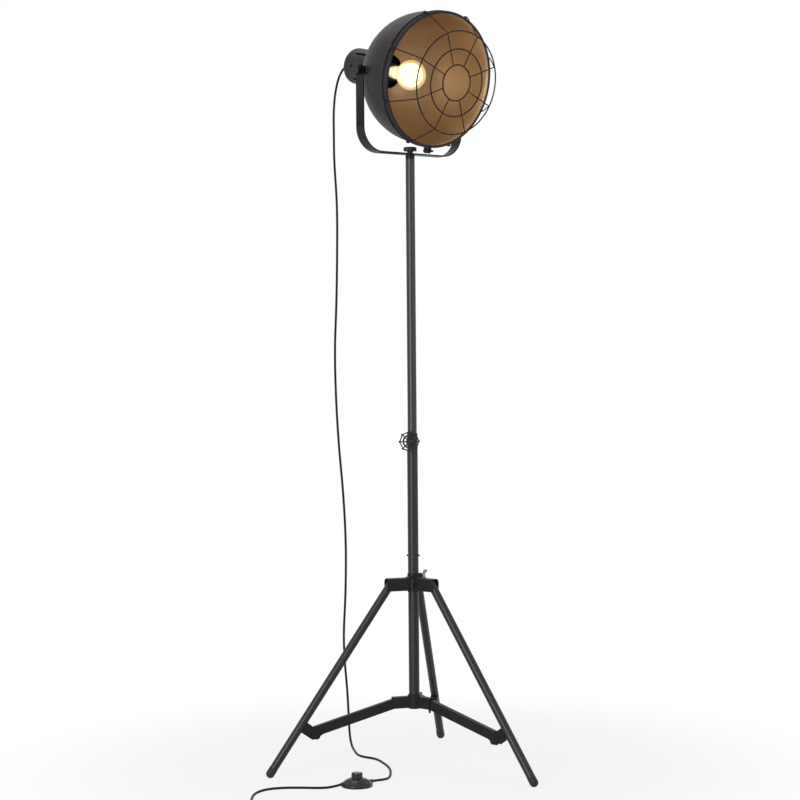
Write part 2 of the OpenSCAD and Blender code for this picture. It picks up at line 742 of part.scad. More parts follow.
function dome_arc(r, n) =
  let (a0 = acos((back_s - dome_s) / r))
  [for (i = [0:n]) [r * sin(a0 + (90 - a0) * i / n), dome_s + r * cos(a0 + (90 - a0) * i / n)]];
module shade_solid() {
  spin_x() polygon(concat(
    [[0, back_s]],
    dome_arc(shade_r, 32),
    [[shade_r, rim_s], [0, rim_s]]
  ));
}
module shade() {
  inner = dome_arc(shade_r - shade_wall, 32);
  color("#373439") head_frame() spin_x() polygon(concat(
    dome_arc(shade_r, 32),
    [[shade_r, rim_s], [shade_r - shade_wall, rim_s]],
    [for (i = [0:32]) inner[32 - i]]
  ));
}
module rim_band() {
  b = bead_h;
  color("#232124") head_frame() difference() {
    union() {
      spin_x() polygon([
        [shade_r, band_s], [shade_r + b, band_s], [shade_r + b, band_s + 3],
        [shade_r + b - 1.5, band_s + 4], [shade_r + b - 1.5, band_s + band_w - 4.5],
        [shade_r + b, band_s + band_w - 3.5], [shade_r + b, band_s + band_w],
        [shade_r - 1.5, band_s + band_w], [shade_r - 1.5, rim_s], [shade_r, rim_s]
      ]);
      for (m = [0, 1]) mirror([0, m, 0])
        translate([band_s + 3, 3, -shade_r - bead_h - ear_drop]) cube([band_w - 6, 3, ear_drop + 3]);
    }
    translate([band_s - 1, -3, -shade_r - bead_h - ear_drop - 1]) cube([band_w + 2, 6, ear_drop + bead_h + 6]);
    translate([band_s + band_w / 2, 0, -shade_r - bead_h - 7]) along_y(-10, 10, 2.5);
  }
}
module band_bolt() {
  color("#7d7f84") head_frame() translate([band_s + band_w / 2, 0, -shade_r - bead_h - 7]) {
    along_y(-6, 17, 2.5);
    along_y(-9.5, -6, 4.6);
    difference() {
      along_y(6, 10, 4.4, $fn = 6);
      along_y(5, 11, 2.5);
    }
  }
}
module guard_face() {
  color("#2b2226") head_frame() {
    for (r = [ring1_r, ring2_r, ring3_r])
      spin_x() translate([r, guard_s]) circle(r = ring_wire_d / 2, $fn = 24);
    for (k = [0:7]) rotate([22.5 + 45 * k, 0, 0])
      translate([guard_s - 1, 0, 0]) cylinder_from(ring1_r, ring3_r, spoke_wire_d / 2);
  }
}
module cylinder_from(z0, z1, r) {
  translate([0, 0, z0]) cylinder(h = z1 - z0, r = r, $fn = 24);
}
module guard_legs() {
  ds = guard_s - 1 - clip_s - 12;
  dr = clip_r - ring3_r;
  color("#2b2226") head_frame() difference() {
    for (k = [0:7]) rotate([22.5 + 45 * k, 0, 0]) {
      translate([clip_s + 12, 0, clip_r]) rotate([0, atan2(ds, -dr), 0])
        cylinder(h = norm([ds, dr]), r = spoke_wire_d / 2, $fn = 36);
      translate([clip_s + 12, 0, clip_r]) sphere(r = spoke_wire_d / 2 + 0.2, $fn = 36);
      translate([0, 0, clip_r]) along_x(clip_s, clip_s + 12, spoke_wire_d / 2, $fn = 36);
    }
    for (k = [0:7]) rotate([22.5 + 45 * k, 0, 0])
      translate([guard_s - 1, 0, 0]) cylinder_from(ring1_r, ring3_r + weld_gap, spoke_wire_d / 2 + weld_gap);
    spin_x() translate([ring3_r, guard_s]) circle(r = ring_wire_d / 2 + weld_gap, $fn = 36);
  }
}
module guard_clips() {
  color("#232124") head_frame() difference() {
    for (k = [0:7]) rotate([22.5 + 45 * k, 0, 0])
      translate([clip_s, -4, shade_r]) cube([8, 8, clip_r - shade_r + 2.8]);
    spin_x() polygon([
      [0, band_s], [shade_r + bead_h, band_s], [shade_r + bead_h, band_s + 3],
      [shade_r + bead_h - 1.5, band_s + 4], [shade_r + bead_h - 1.5, band_s + band_w - 4.5],
      [shade_r + bead_h, band_s + band_w - 3.5], [shade_r + bead_h, band_s + band_w], [0, band_s + band_w]
    ]);
    for (k = [0:7]) rotate([22.5 + 45 * k, 0, 0])
      translate([0, 0, clip_r]) along_x(clip_s - 1, clip_s + 9, spoke_wire_d / 2, $fn = 24);
  }
}
module socket_housing() {
  r = housing_r;
  w = housing_wall;
  color("#2c2a2d") head_frame() difference() {
    spin_x() polygon([
      [r, back_s], [r, housing_back + 3], [r - 3, housing_back], [5, housing_back],
      [5, housing_back + w], [r - 3 - w, housing_back + w], [r - w, housing_back + 3 + w],
      [r - w, back_s - 3], [r - w - 4, back_s - 3], [r - w - 4, back_s]
    ]);
    for (k = [0:7]) rotate([45 * k, 0, 0])
      translate([housing_back + 27, -slot_w / 2, r - 8]) cube([slot_len, slot_w, 16]);
  }
}
module lamp_holder() {
  color("#1b1b1c") head_frame() difference() {
    union() {
      along_x(bulb_back - holder_back, bulb_back + holder_front, holder_r);
      along_x(housing_back + housing_wall, bulb_back - holder_back, 8);
      along_x(housing_back, housing_back + housing_wall, 5);
    }
    along_x(bulb_back - 2, bulb_back + holder_front + 1, base_r + 0.4);
    along_x(housing_back - 1, bulb_back - holder_back + 8, 3);
  }
}
module bulb_base() {
  color("#b5a06a") head_frame() {
    along_x(bulb_back, bulb_back + base_len, base_r);
    along_x(bulb_back - 2, bulb_back, 5);
  }
}
function bulb_outline(g, n, front) =
  let (r = globe_d / 2 - g, a1 = 180 - asin((neck_d / 2 - g) / r) - 12)
  concat(
    [for (i = [0:24]) let (a = front + (a1 - front) * i / 24) [r * sin(a), globe_s + r * cos(a)]],
    [[neck_d / 2 - g, globe_s - globe_d / 2 - 8], [neck_d / 2 - 0.6 - g, globe_s - globe_d / 2 - 26],
     [base_r - g, bulb_back + holder_front + 0.8], [base_r - g, bulb_back + base_len]]
  );
module bulb_glass() {
  outer = bulb_outline(0, 24, 0);
  inner = bulb_outline(1, 24, 0);
  color("#ffe9b8") head_frame() spin_x() polygon(concat(
    outer,
    [for (i = [0:len(inner) - 1]) inner[len(inner) - 1 - i]]
  ));
}
module pivot_bosses() {
  color("#2a282b") head_frame() difference() {
    for (m = [0, 1]) mirror([0, m, 0]) {
      along_y(shade_r / 2, arm_in - side_gap, 10);
      along_y(arm_in - side_gap, arm_out + side_knob_out - 4, stud_r - run);
    }
    shade_solid();
  }
}
module cord_gland() {
  color("#171717") head_frame() difference() {
    spin_x() polygon([
      [3, housing_back], [9, housing_back], [9, housing_back - 4], [7, housing_back - 5],
      [cord_r + 1.2, housing_back - gland_len], [3, housing_back - gland_len]
    ]);
  }
}
module side_knob(m) {
  yoke_frame() translate([0, 0, strap_t + yoke_rise]) mirror([0, m, 0]) difference() {
    union() {
      along_y(arm_out + side_gap, arm_out + 4, 7);
      along_y(arm_out + 4, arm_out + side_knob_out - 1, side_knob_d / 2);
      translate([0, arm_out + side_knob_out - 1, 0]) rotate([-90, 0, 0])
        cylinder(h = 1, r1 = side_knob_d / 2, r2 = side_knob_d / 2 - 1);
    }
    along_y(arm_out - 1, arm_out + side_knob_out - 3.6, stud_r);
  }
}
module pivot_knob_left() {
  color("#1b1b1c") side_knob(1);
}
module pivot_knob_right() {
  color("#1b1b1c") side_knob(0);
}

// ---- cord, foot switch and plug ---------------------------------------

gland_s = housing_back - gland_len - side_gap;
gland_end = [
  gland_s * cos(head_tilt) * cos(head_yaw),
  gland_s * cos(head_tilt) * sin(head_yaw),
  tilt_z - gland_s * sin(head_tilt)
];
function switch_pt(s) = [switch_at[0] + s * switch_dir[0], switch_at[1] + s * switch_dir[1], 8];
module cord_upper() {
  p = concat([gland_end], upper_route, [switch_pt(switch_r + 4)]);
  color("#141414") at_post() polyhedron(points = tube_pts(p, cord_r, 8), faces = tube_faces(len(p), 8));
}
module cord_lower() {
  p = concat([switch_pt(-switch_r - 4)], lower_route, [[coil_at[0] - 35.5, coil_at[1] + 8, floor_z]]);
  color("#141414") at_post() polyhedron(points = tube_pts(p, cord_r, 8), faces = tube_faces(len(p), 8));
}
module cord_coil() {
  color("#141414") at_post() translate([coil_at[0], coil_at[1], 0.2])
    rotate_extrude() translate([coil_r - 8.5, 0]) square([17, 11]);
}
module cord_tail() {
  p = [[coil_at[0] + 6, plug_y, 8.2], [coil_at[0] + 20, plug_y, 7.5], [plug_x, plug_y, plug_z]];
  color("#141414") at_post() polyhedron(points = tube_pts(p, cord_r, 8), faces = tube_faces(len(p), 8));
}
module switch_base() {
  s = switch_r;
  h = switch_h;
  b = button_d / 2 + side_gap;
  color("#232324") at_post() translate([switch_at[0], switch_at[1], 0]) {
    rotate_extrude() polygon([
      [0, 0], [s - 1, 0], [s, 1.5], [s, 5], [s - 1.5, 8], [s - 6, 12], [s - 12, 16],
      [b + 4, h - 0.4], [b + 2, h], [b, h], [b, h - 13], [0, h - 13]
    ]);
    for (m = [0, 180]) rotate([0, 0, m + atan2(switch_dir[1], switch_dir[0])])
      difference() {
        translate([0, 0, 8]) along_x(s - 5, s + 4, cord_r + 1.5);
        rotate_extrude() polygon([
          [0, 0], [s - 1, 0], [s, 1.5], [s, 5], [s - 1.5, 8], [s - 6, 12], [s - 12, 16], [0, 16]
        ]);
      }
  }
}
module switch_button() {
  r = button_d / 2;
  h = switch_h;
  color("#3a3a3b") at_post() translate([switch_at[0], switch_at[1], 0]) {
    translate([0, 0, h - 13 + button_travel + 0.4]) cylinder(h = 23.5 - button_travel - 0.4, r = r);
    translate([0, 0, h + 10.5]) cylinder(h = 2, r1 = r, r2 = r - 2);
  }
}
module plug_body() {
  color("#171717") at_post() translate([plug_x, plug_y, plug_z]) {
    translate([0, 0, 0]) rotate([0, 90, 0]) cylinder(h = 24, r1 = cord_r + 0.8, r2 = 5.5);
    translate([24, 0, -6.8]) linear_extrude(13.6)
      polygon([[0, -8], [6, -13], [35, -17.5], [35, 17.5], [6, 13], [0, 8]]);
  }
}
module plug_pins() {
  color("#c9c6ba") at_post() translate([plug_x + 59, plug_y, plug_z])
    for (y = [-9.5, 9.5]) translate([0, y, 0]) along_x(0, 19, 2, $fn = 48);
}

post_lower_tube();
post_upper_tube();
joint_sleeve();
joint_pin();
post_bush();
clamp_boss();
bottom_hub();
hub_pins();
post_end_cap();
crown();
crown_pins();
crown_screws();
wing_bolt();
leg_back();
leg_back_end();
leg_back_bracket();
leg_back_foot();
leg_left();
leg_left_end();
leg_left_bracket();
leg_left_foot();
leg_right();
leg_right_end();
leg_right_bracket();
leg_right_foot();
strut_back();
strut_left();
strut_right();
mast_tube();
mast_plug();
mast_foot();
handwheel();
clamp_screw();
yoke();
yoke_washer();
yoke_knob();
shade();
rim_band();
band_bolt();
guard_face();
guard_legs();
guard_clips();
socket_housing();
lamp_holder();
bulb_glass();
bulb_base();
pivot_bosses();
cord_gland();
pivot_knob_left();
pivot_knob_right();
cord_upper();
cord_lower();
cord_coil();
cord_tail();
switch_base();
switch_button();
plug_body();
plug_pins();
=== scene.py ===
import math

import bmesh
import bpy
from mathutils import Matrix, Vector


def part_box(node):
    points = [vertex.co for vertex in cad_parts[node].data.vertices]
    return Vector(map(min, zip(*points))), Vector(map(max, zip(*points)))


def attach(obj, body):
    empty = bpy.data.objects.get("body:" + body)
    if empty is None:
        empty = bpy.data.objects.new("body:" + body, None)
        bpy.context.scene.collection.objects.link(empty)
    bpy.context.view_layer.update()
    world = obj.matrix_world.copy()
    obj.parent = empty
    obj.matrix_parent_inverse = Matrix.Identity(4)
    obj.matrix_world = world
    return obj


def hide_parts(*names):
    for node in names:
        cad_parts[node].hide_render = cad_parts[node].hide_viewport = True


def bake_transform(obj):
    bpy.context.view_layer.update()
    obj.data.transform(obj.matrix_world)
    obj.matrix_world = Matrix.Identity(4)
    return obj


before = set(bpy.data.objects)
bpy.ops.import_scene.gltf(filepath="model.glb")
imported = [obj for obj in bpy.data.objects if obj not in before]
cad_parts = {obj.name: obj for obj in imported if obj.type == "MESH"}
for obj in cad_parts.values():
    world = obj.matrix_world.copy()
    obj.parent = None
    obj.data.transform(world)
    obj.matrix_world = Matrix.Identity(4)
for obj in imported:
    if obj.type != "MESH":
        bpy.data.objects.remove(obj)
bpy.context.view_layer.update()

print("frame loaded:", len(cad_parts), "parts")

# Every piece is drawn in millimetres in the frame of what carries it, and placed in metres at the end.
stance = {
    "headYaw": -39.3,       # where the lamp looks, in degrees from +X
    "headTilt": 12.5,       # how far the shade looks down
    "legAngle": 34.9,       # legs from the vertical
    "legPivot": 56.1,       # leg pivots from the axis of the post
    "hubPivot": 44,         # strut pivots from the axis of the post
    "strutSlope": 15.12,    # struts below the horizontal
    "wingTurn": 30,         # side of the wing bolt, in degrees from +X
    "legSides": {"back": 90, "left": 210, "right": -30},
}


def centreOf(node):
    low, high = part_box(node)
    return (low + high) * 500    # metres to millimetres


def turned(axis, degrees):
    return Matrix.Rotation(math.radians(degrees), 4, axis)


def moved(x, y, z):
    return Matrix.Translation((x, y, z))


postMid = centreOf("mast_tube")
crownZ = centreOf("crown_pins").z
hubZ = centreOf("hub_pins").z
clampZ = centreOf("clamp_boss").z
tiltZ = centreOf("pivot_knob_left").z
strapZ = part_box("yoke")[0].z * 1000
standFrame = Matrix.Scale(0.001, 4) @ moved(0, postMid.y, 0)
yokeFrame = standFrame @ moved(0, 0, strapZ) @ turned("Z", stance["headYaw"])
headFrame = standFrame @ moved(0, 0, tiltZ) @ turned("Z", stance["headYaw"]) @ turned("Y", stance["headTilt"])
upright = turned("Y", -90)      # a shape turned about X stands up along Z
sideways = turned("Z", 90)      # a shape turned about X lies along Y
forwards = turned("Z", -90)     # a shape turned about X points to the front of the stand


def sideTurn(side):
    return turned("Z", stance["legSides"][side])


def legFrame(side):
    pivot = moved(stance["legPivot"], 0, crownZ)
    return standFrame @ sideTurn(side) @ pivot @ turned("Y", 90 - stance["legAngle"])


def strutFrame(side):
    pivot = moved(stance["hubPivot"], 0, hubZ)
    return standFrame @ sideTurn(side) @ pivot @ turned("Y", stance["strutSlope"])


camera = {
    "place": (0.861, -4.519 + postMid.y / 1000, 0.954),
    "aim": (-0.19305, 0.98123),
    "down": 1.3266,
    "roll": -0.46,
    "lens": 90,
    "sensor": 36,
}
studio = {
    "world": 0.38,
    "floor": "#f4f4f3",
    "floorRadius": 9,
    "floorLift": 0.8,    # share of white in the floor under the lamp
    "fadeFrom": 0.45,
    "fadeTo": 1.1,
}
lamps = {
    # place, target, width, height, watts and colour; the tall key draws one streak down every tube
    "keyLight": ((-1.3, -4.0, 1.3), (0, postMid.y / 1000, 0.95), 1.8, 2.8, 108, "#fffdfa"),
    "fillLight": ((3.4, -1.6, 1.8), (0, 0, 0.9), 1.6, 2.0, 20, "#fafcff"),
    "topLight": ((-0.6, 0.4, 3.4), (0, 0, 0.8), 1.6, 1.6, 8, "#ffffff"),
}
white = (1, 1, 1, 1)


def linear(hexColour):
    channels = [int(hexColour[i:i + 2], 16) / 255 for i in (1, 3, 5)]
    return tuple(c / 12.92 if c <= 0.04045 else ((c + 0.055) / 1.055) ** 2.4 for c in channels) + (1,)


def addNode(tree, kind, inputs=None, out=None, **settings):
    # one node: its own settings, its inputs set or linked, and its output linked on
    node = tree.nodes.new(kind)
    for name, value in settings.items():
        setattr(node, name, value)
    for name, value in (inputs or {}).items():
        if isinstance(value, bpy.types.NodeSocket):
            tree.links.new(value, node.inputs[name])
        else:
            node.inputs[name].default_value = value
    if out:
        tree.links.new(node.outputs[out[0]], out[1])
    return node


def addObject(name, data):
    thing = bpy.data.objects.new(name, data)
    bpy.context.scene.collection.objects.link(thing)
    return thing


def placeCamera():
    down, roll = math.radians(camera["down"]), math.radians(camera["roll"])
    east, north = camera["aim"]
    forward = Vector((east * math.cos(down), north * math.cos(down), -math.sin(down)))
    right = Vector((north, -east, 0)).normalized()
    up = right.cross(forward)
    right, up = math.cos(roll) * right + math.sin(roll) * up, math.cos(roll) * up - math.sin(roll) * right
    data = bpy.data.cameras.new("standCamera")
    data.lens = camera["lens"]
    data.sensor_width = camera["sensor"]
    eye = addObject("standCamera", data)
    eye.matrix_world = moved(*camera["place"]) @ Matrix((right, up, -forward)).transposed().to_4x4()
    bpy.context.scene.camera = eye


def addLamp(name, place, target, wide, tall, watts, colour):
    data = bpy.data.lights.new(name, "AREA")
    data.shape = "RECTANGLE"
    data.size = wide
    data.size_y = tall
    data.energy = watts
    data.color = linear(colour)[:3]
    lamp = addObject(name, data)
    lamp.location = place
    lamp.rotation_euler = (Vector(target) - Vector(place)).to_track_quat("-Z", "Y").to_euler()


def seenBy(tree, *rays):
    # 1 for the rays that see the room itself, 0 for those that carry its light
    path = addNode(tree, "ShaderNodeLightPath")
    seen = path.outputs[rays[0]]
    for ray in rays[1:]:
        either = addNode(tree, "ShaderNodeMath", {0: seen, 1: path.outputs[ray]}, operation="MAXIMUM")
        seen = either.outputs[0]
    return seen


def makeWorld():
    world = bpy.data.worlds.new("studioWorld")
    bpy.context.scene.world = world
    world.use_nodes = True
    tree = world.node_tree
    tree.nodes.clear()
    seen = seenBy(tree, "Is Camera Ray", "Is Glossy Ray", "Is Transmission Ray")
    light = addNode(tree, "ShaderNodeBackground", {"Color": white, "Strength": studio["world"]})
    shown = addNode(tree, "ShaderNodeBackground", {"Color": white, "Strength": 1.0})
    mix = addNode(tree, "ShaderNodeMixShader", {0: seen, 1: light.outputs[0], 2: shown.outputs[0]})
    addNode(tree, "ShaderNodeOutputWorld", {"Surface": mix.outputs[0]})


def makeFloor():
    # matt seamless paper that fades into the white room
    bm = bmesh.new()
    bmesh.ops.create_circle(bm, cap_ends=True, radius=studio["floorRadius"], segments=96)
    mesh = bpy.data.meshes.new("floor")
    bm.to_mesh(mesh)
    bm.free()
    floor = addObject("floor", mesh)
    material = bpy.data.materials.new("paperFloor")
    material.use_nodes = True
    tree = material.node_tree
    tree.nodes.clear()
    place = addNode(tree, "ShaderNodeTexCoord").outputs["Object"]
    middle = (0, postMid.y / 1000, 0)
    centred = addNode(tree, "ShaderNodeVectorMath", {0: place, 1: middle}, operation="SUBTRACT")
    reach = addNode(tree, "ShaderNodeVectorMath", {0: centred.outputs[0]}, operation="LENGTH")
    fading = {"From Min": studio["fadeFrom"], "From Max": studio["fadeTo"], "To Min": studio["floorLift"]}
    fading["Value"] = reach.outputs["Value"]
    fade = addNode(tree, "ShaderNodeMapRange", fading, interpolation_type="SMOOTHSTEP")
    matt = {"Base Color": linear(studio["floor"]), "Roughness": 0.9, "Specular IOR Level": 0.1}
    paper = addNode(tree, "ShaderNodeBsdfPrincipled", matt)
    glow = addNode(tree, "ShaderNodeEmission", {"Color": white, "Strength": 1.0})
    seen = seenBy(tree, "Is Camera Ray", "Is Glossy Ray")
    share = addNode(tree, "ShaderNodeMath", {0: fade.outputs["Result"], 1: seen}, operation="MULTIPLY")
    mix = addNode(tree, "ShaderNodeMixShader", {0: share.outputs[0], 1: paper.outputs[0], 2: glow.outputs[0]})
    addNode(tree, "ShaderNodeOutputMaterial", {"Surface": mix.outputs[0]})
    mesh.materials.append(material)


placeCamera()
makeWorld()
makeFloor()
for lampName, lampValues in lamps.items():
    addLamp(lampName, *lampValues)
bpy.context.scene.view_settings.view_transform = "Standard"
print("camera, floor and light set")


def newFinish(name, colour, roughness, metallic=0.0, **sockets):
    # a principled shader with its plain values set straight on its sockets
    material = bpy.data.materials.new(name)
    material.use_nodes = True
    tree = material.node_tree
    shader = tree.nodes["Principled BSDF"]
    shader.inputs["Base Color"].default_value = linear(colour)
    shader.inputs["Roughness"].default_value = roughness
    shader.inputs["Metallic"].default_value = metallic
    for socket, value in sockets.items():
        shader.inputs[socket.replace("_", " ")].default_value = value
    place = addNode(tree, "ShaderNodeTexCoord").outputs["Object"]
    return material, tree, shader, place


def colourBy(tree, pattern, span, dark, light, socket):
    # the colour goes from dark to light as the pattern rises through the span
    share = addNode(tree, "ShaderNodeMapRange", {"Value": pattern, "From Min": span[0], "From Max": span[1]})
    ends = {0: share.outputs["Result"], 6: linear(dark), 7: linear(light)}
    addNode(tree, "ShaderNodeMix", ends, (2, socket), data_type="RGBA")


def powderCoat(name, dark, light, roughness, specular, grainMm=1.0):
    # Polyester powder coat on steel, sprayed and baked: a fine sandy grain that breaks up the highlight,
    # a little uneven in gloss. The grit is about 0.3 mm; grain and specks are drawn coarser, to show.
    material, tree, shader, place = newFinish(name, dark, roughness, Specular_IOR_Level=specular)
    fine = {"Vector": place, "Scale": 1000 / grainMm, "Detail": 2.0, "Roughness": 0.6}
    coarse = {"Vector": place, "Scale": 1000 / (grainMm * 2.6), "Detail": 3.0, "Roughness": 0.7}
    sprayed = {"Vector": place, "Scale": 1000 / 80, "Detail": 2.0}    # 80 mm patches from the spray gun
    grain = addNode(tree, "ShaderNodeTexNoise", fine).outputs["Fac"]
    specks = addNode(tree, "ShaderNodeTexNoise", coarse).outputs["Fac"]
    cloud = addNode(tree, "ShaderNodeTexNoise", sprayed).outputs["Fac"]
    mixed = addNode(tree, "ShaderNodeMath", {0: specks, 1: cloud}, operation="ADD")
    colourBy(tree, mixed.outputs[0], (0.8, 1.2), dark, light, shader.inputs["Base Color"])
    gloss = {"Value": cloud, "From Min": 0.3, "From Max": 0.7}
    gloss.update({"To Min": roughness - 0.04, "To Max": roughness + 0.05})
    addNode(tree, "ShaderNodeMapRange", gloss, ("Result", shader.inputs["Roughness"]))
    bump = {"Height": grain, "Strength": 0.5, "Distance": 0.00012}
    addNode(tree, "ShaderNodeBump", bump, ("Normal", shader.inputs["Normal"]))
    return material


def bronzeLacquer(name, dark, light):
    # Bronze metallic lacquer, sprayed: satin and cloudy, with a fine metal fleck and a thin clear coat
    # that catches the lamp. The flecks are 0.1 mm, drawn at 1.2 mm.
    material, tree, shader, place = newFinish(name, dark, 0.4, 0.25, Coat_Weight=0.35, Coat_Roughness=0.14)
    fleck = addNode(tree, "ShaderNodeTexNoise", {"Vector": place, "Scale": 1000 / 1.2, "Detail": 2.0})
    sprayed = {"Vector": place, "Scale": 1000 / 90, "Detail": 3.0, "Roughness": 0.5}
    cloud = addNode(tree, "ShaderNodeTexNoise", sprayed).outputs["Fac"]
    mixed = addNode(tree, "ShaderNodeMath", {0: cloud, 1: fleck.outputs["Fac"]}, operation="ADD")
    colourBy(tree, mixed.outputs[0], (0.78, 1.22), dark, light, shader.inputs["Base Color"])
    gloss = {"Value": cloud, "From Min": 0.35, "From Max": 0.65, "To Min": 0.36, "To Max": 0.5}
    addNode(tree, "ShaderNodeMapRange", gloss, ("Result", shader.inputs["Roughness"]))
    bump = {"Height": fleck.outputs["Fac"], "Strength": 0.25, "Distance": 0.0001}
    addNode(tree, "ShaderNodeBump", bump, ("Normal", shader.inputs["Normal"]))
    return material


def moulded(name, dark, light, roughness, specular, grainMm, height):
    # Moulded plastic or rubber: an even sheen over a fine mould grain, slightly cloudy in colour.
    material, tree, shader, place = newFinish(name, dark, roughness, Specular_IOR_Level=specular)
    grain = addNode(tree, "ShaderNodeTexNoise", {"Vector": place, "Scale": 1000 / grainMm, "Detail": 2.0})
    cloud = addNode(tree, "ShaderNodeTexNoise", {"Vector": place, "Scale": 1000 / 9, "Detail": 2.0})
    both = {0: grain.outputs["Fac"], 1: cloud.outputs["Fac"]}
    mixed = addNode(tree, "ShaderNodeMath", both, operation="ADD")
    colourBy(tree, mixed.outputs[0], (0.8, 1.2), dark, light, shader.inputs["Base Color"])
    bump = {"Height": grain.outputs["Fac"], "Strength": 0.4, "Distance": height}
    addNode(tree, "ShaderNodeBump", bump, ("Normal", shader.inputs["Normal"]))
    return material


def platedMetal(name, dark, light, roughness):
    # Zinc, nickel or brass plate on a turned or cast part: bright, with faint cloudy spots 3 mm wide.
    material, tree, shader, place = newFinish(name, dark, roughness, 1.0)
    cloudy = {"Vector": place, "Scale": 1000 / 3, "Detail": 3.0}
    spots = addNode(tree, "ShaderNodeTexNoise", cloudy).outputs["Fac"]
    colourBy(tree, spots, (0.35, 0.65), dark, light, shader.inputs["Base Color"])
    gloss = {"Value": spots, "From Min": 0.3, "From Max": 0.7}
    gloss.update({"To Min": roughness - 0.06, "To Max": roughness + 0.08})
    addNode(tree, "ShaderNodeMapRange", gloss, ("Result", shader.inputs["Roughness"]))
    return material


def bulbGlass(name, tint, glow):
    # Blown clear glass, a little hazy with heat: gloss outside, and the light inside shows through.
    clear = {"Transmission_Weight": 1.0, "IOR": 1.45, "Emission_Strength": 0.16}
    material, tree, shader, place = newFinish(name, tint, 0.12, **clear)
    shader.inputs["Emission Color"].default_value = linear(glow)
    hazy = {"Vector": place, "Scale": 1000 / 14, "Detail": 2.0}
    haze = addNode(tree, "ShaderNodeTexNoise", hazy).outputs["Fac"]
    gloss = {"Value": haze, "From Min": 0.35, "From Max": 0.65, "To Min": 0.06, "To Max": 0.2}
    addNode(tree, "ShaderNodeMapRange", gloss, ("Result", shader.inputs["Roughness"]))
    return material


def lampGlow(name, warm, bright):
    # The light of the filaments, which fills the globe: nearly white, with warmer patches 12 mm wide.
    material, tree, shader, place = newFinish(name, warm, 0.6, Emission_Strength=1.7)
    swirled = {"Vector": place, "Scale": 1000 / 12, "Detail": 3.0, "Roughness": 0.6}
    swirl = addNode(tree, "ShaderNodeTexNoise", swirled).outputs["Fac"]
    colourBy(tree, swirl, (0.34, 0.5), warm, bright, shader.inputs["Emission Color"])
    return material


finishes = {
    # the record's slot that a finish belongs to, and the finish
    "blackPaint": ("black_paint", powderCoat("blackPowderCoat", "#121012", "#1c1a1d", 0.4, 0.18)),
    "tubePaint": ("black_paint", powderCoat("tubePowderCoat", "#09080b", "#111013", 0.37, 0.38)),
    "mastPaint": ("mast_paint", powderCoat("mastPowderCoat", "#0e0d11", "#161519", 0.35, 0.5)),
    "shadePaint": ("black_paint", powderCoat("shadePowderCoat", "#1e1a1e", "#282428", 0.46, 0.2, 1.3)),
    "bronze": ("shade_lining", bronzeLacquer("bronzeLacquer", "#97734a", "#af8d66")),
    "guardPaint": ("guard_wire", powderCoat("guardEnamel", "#1c0e0a", "#2a1811", 0.42, 0.15, 0.8)),
    "zinc": ("zinc", platedMetal("zincPlate", "#77787b", "#97989b", 0.4)),
    "steel": ("steel", platedMetal("blackenedSteel", "#1f1e21", "#302f32", 0.42)),
    "nickel": ("nickel", platedMetal("nickelPlate", "#b9b6ac", "#d2cfc6", 0.25)),
    "brass": ("brass", platedMetal("brassPlate", "#a98f58", "#c2a970", 0.32)),
    "plastic": ("black_plastic", moulded("phenolicPlastic", "#131214", "#1e1d1f", 0.42, 0.3, 1.2, 0.00006)),
    "rubber": ("rubber", moulded("feetRubber", "#19181a", "#252426", 0.6, 0.3, 1.5, 0.0001)),
    "switchPlastic": ("switch_grey", moulded("switchAbs", "#0c0b0c", "#121112", 0.2, 0.42, 2.0, 0.00002)),
    "cordSheath": ("cord", moulded("cordPvc", "#070708", "#0e0e0f", 0.5, 0.15, 1.0, 0.00001)),
    "bulb": ("bulb_glass", bulbGlass("bulbGlass", "#fff6e2", "#f2dba0")),
    "glow": ("bulb_glass", lampGlow("filamentGlow", "#cdb684", "#fff8e2")),
}
print("finishes made:", len(finishes))


def keepPiece(name, bm, place, body, finish, stands=(), smooth=34, even=True, slot=None):
    # merges, turns faces outwards, places in metres, hangs the piece on its body's empty and hides the CAD
    # parts it stands for
    bmesh.ops.remove_doubles(bm, verts=bm.verts, dist=0.004)
    bmesh.ops.recalc_face_normals(bm, faces=bm.faces)
    bmesh.ops.transform(bm, matrix=place, verts=bm.verts)
    mesh = bpy.data.meshes.new(name)
    bm.to_mesh(mesh)
    bm.free()
    keys = [finish] if isinstance(finish, str) else finish
    slot = slot or finishes[keys[0]][0]
    for key in keys:
        mesh.materials.append(finishes[key][1])
    mesh.shade_smooth()
    mesh.set_sharp_from_angle(angle=math.radians(smooth))
    piece = addObject(name, mesh)
    if even:
        piece.modifiers.new("evenShading", "WEIGHTED_NORMAL").keep_sharp = True
    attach(piece, body)
    if stands:
        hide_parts(*stands)
    return piece


def allOf(bm):
    return bm.verts[:] + bm.edges[:] + bm.faces[:]


def addShape(bm, part, place=Matrix()):
    # puts one finished shape into another
    part.transform(place)
    mesh = bpy.data.meshes.new("part")
    part.to_mesh(mesh)
    part.free()
    bm.from_mesh(mesh)
    bpy.data.meshes.remove(mesh)
    return bm


def roundEdges(bm, edges, width, segments, clamp=False):
    bmesh.ops.bevel(
        bm, geom=edges, offset=width, offset_type="OFFSET", affect="EDGES", segments=segments,
        profile=0.5, material=-1, clamp_overlap=clamp)


def soften(bm, width, segments=3, angle=40):
    # rounds every edge that is sharper than the angle
    bm.normal_update()
    limit = math.radians(angle)
    sharp = [edge for edge in bm.edges if len(edge.link_faces) == 2 and edge.calc_face_angle() > limit]
    roundEdges(bm, sharp, width, segments, clamp=True)
    return bm


def shifted(outline, at):
    return [(at + along, out) for along, out in outline]


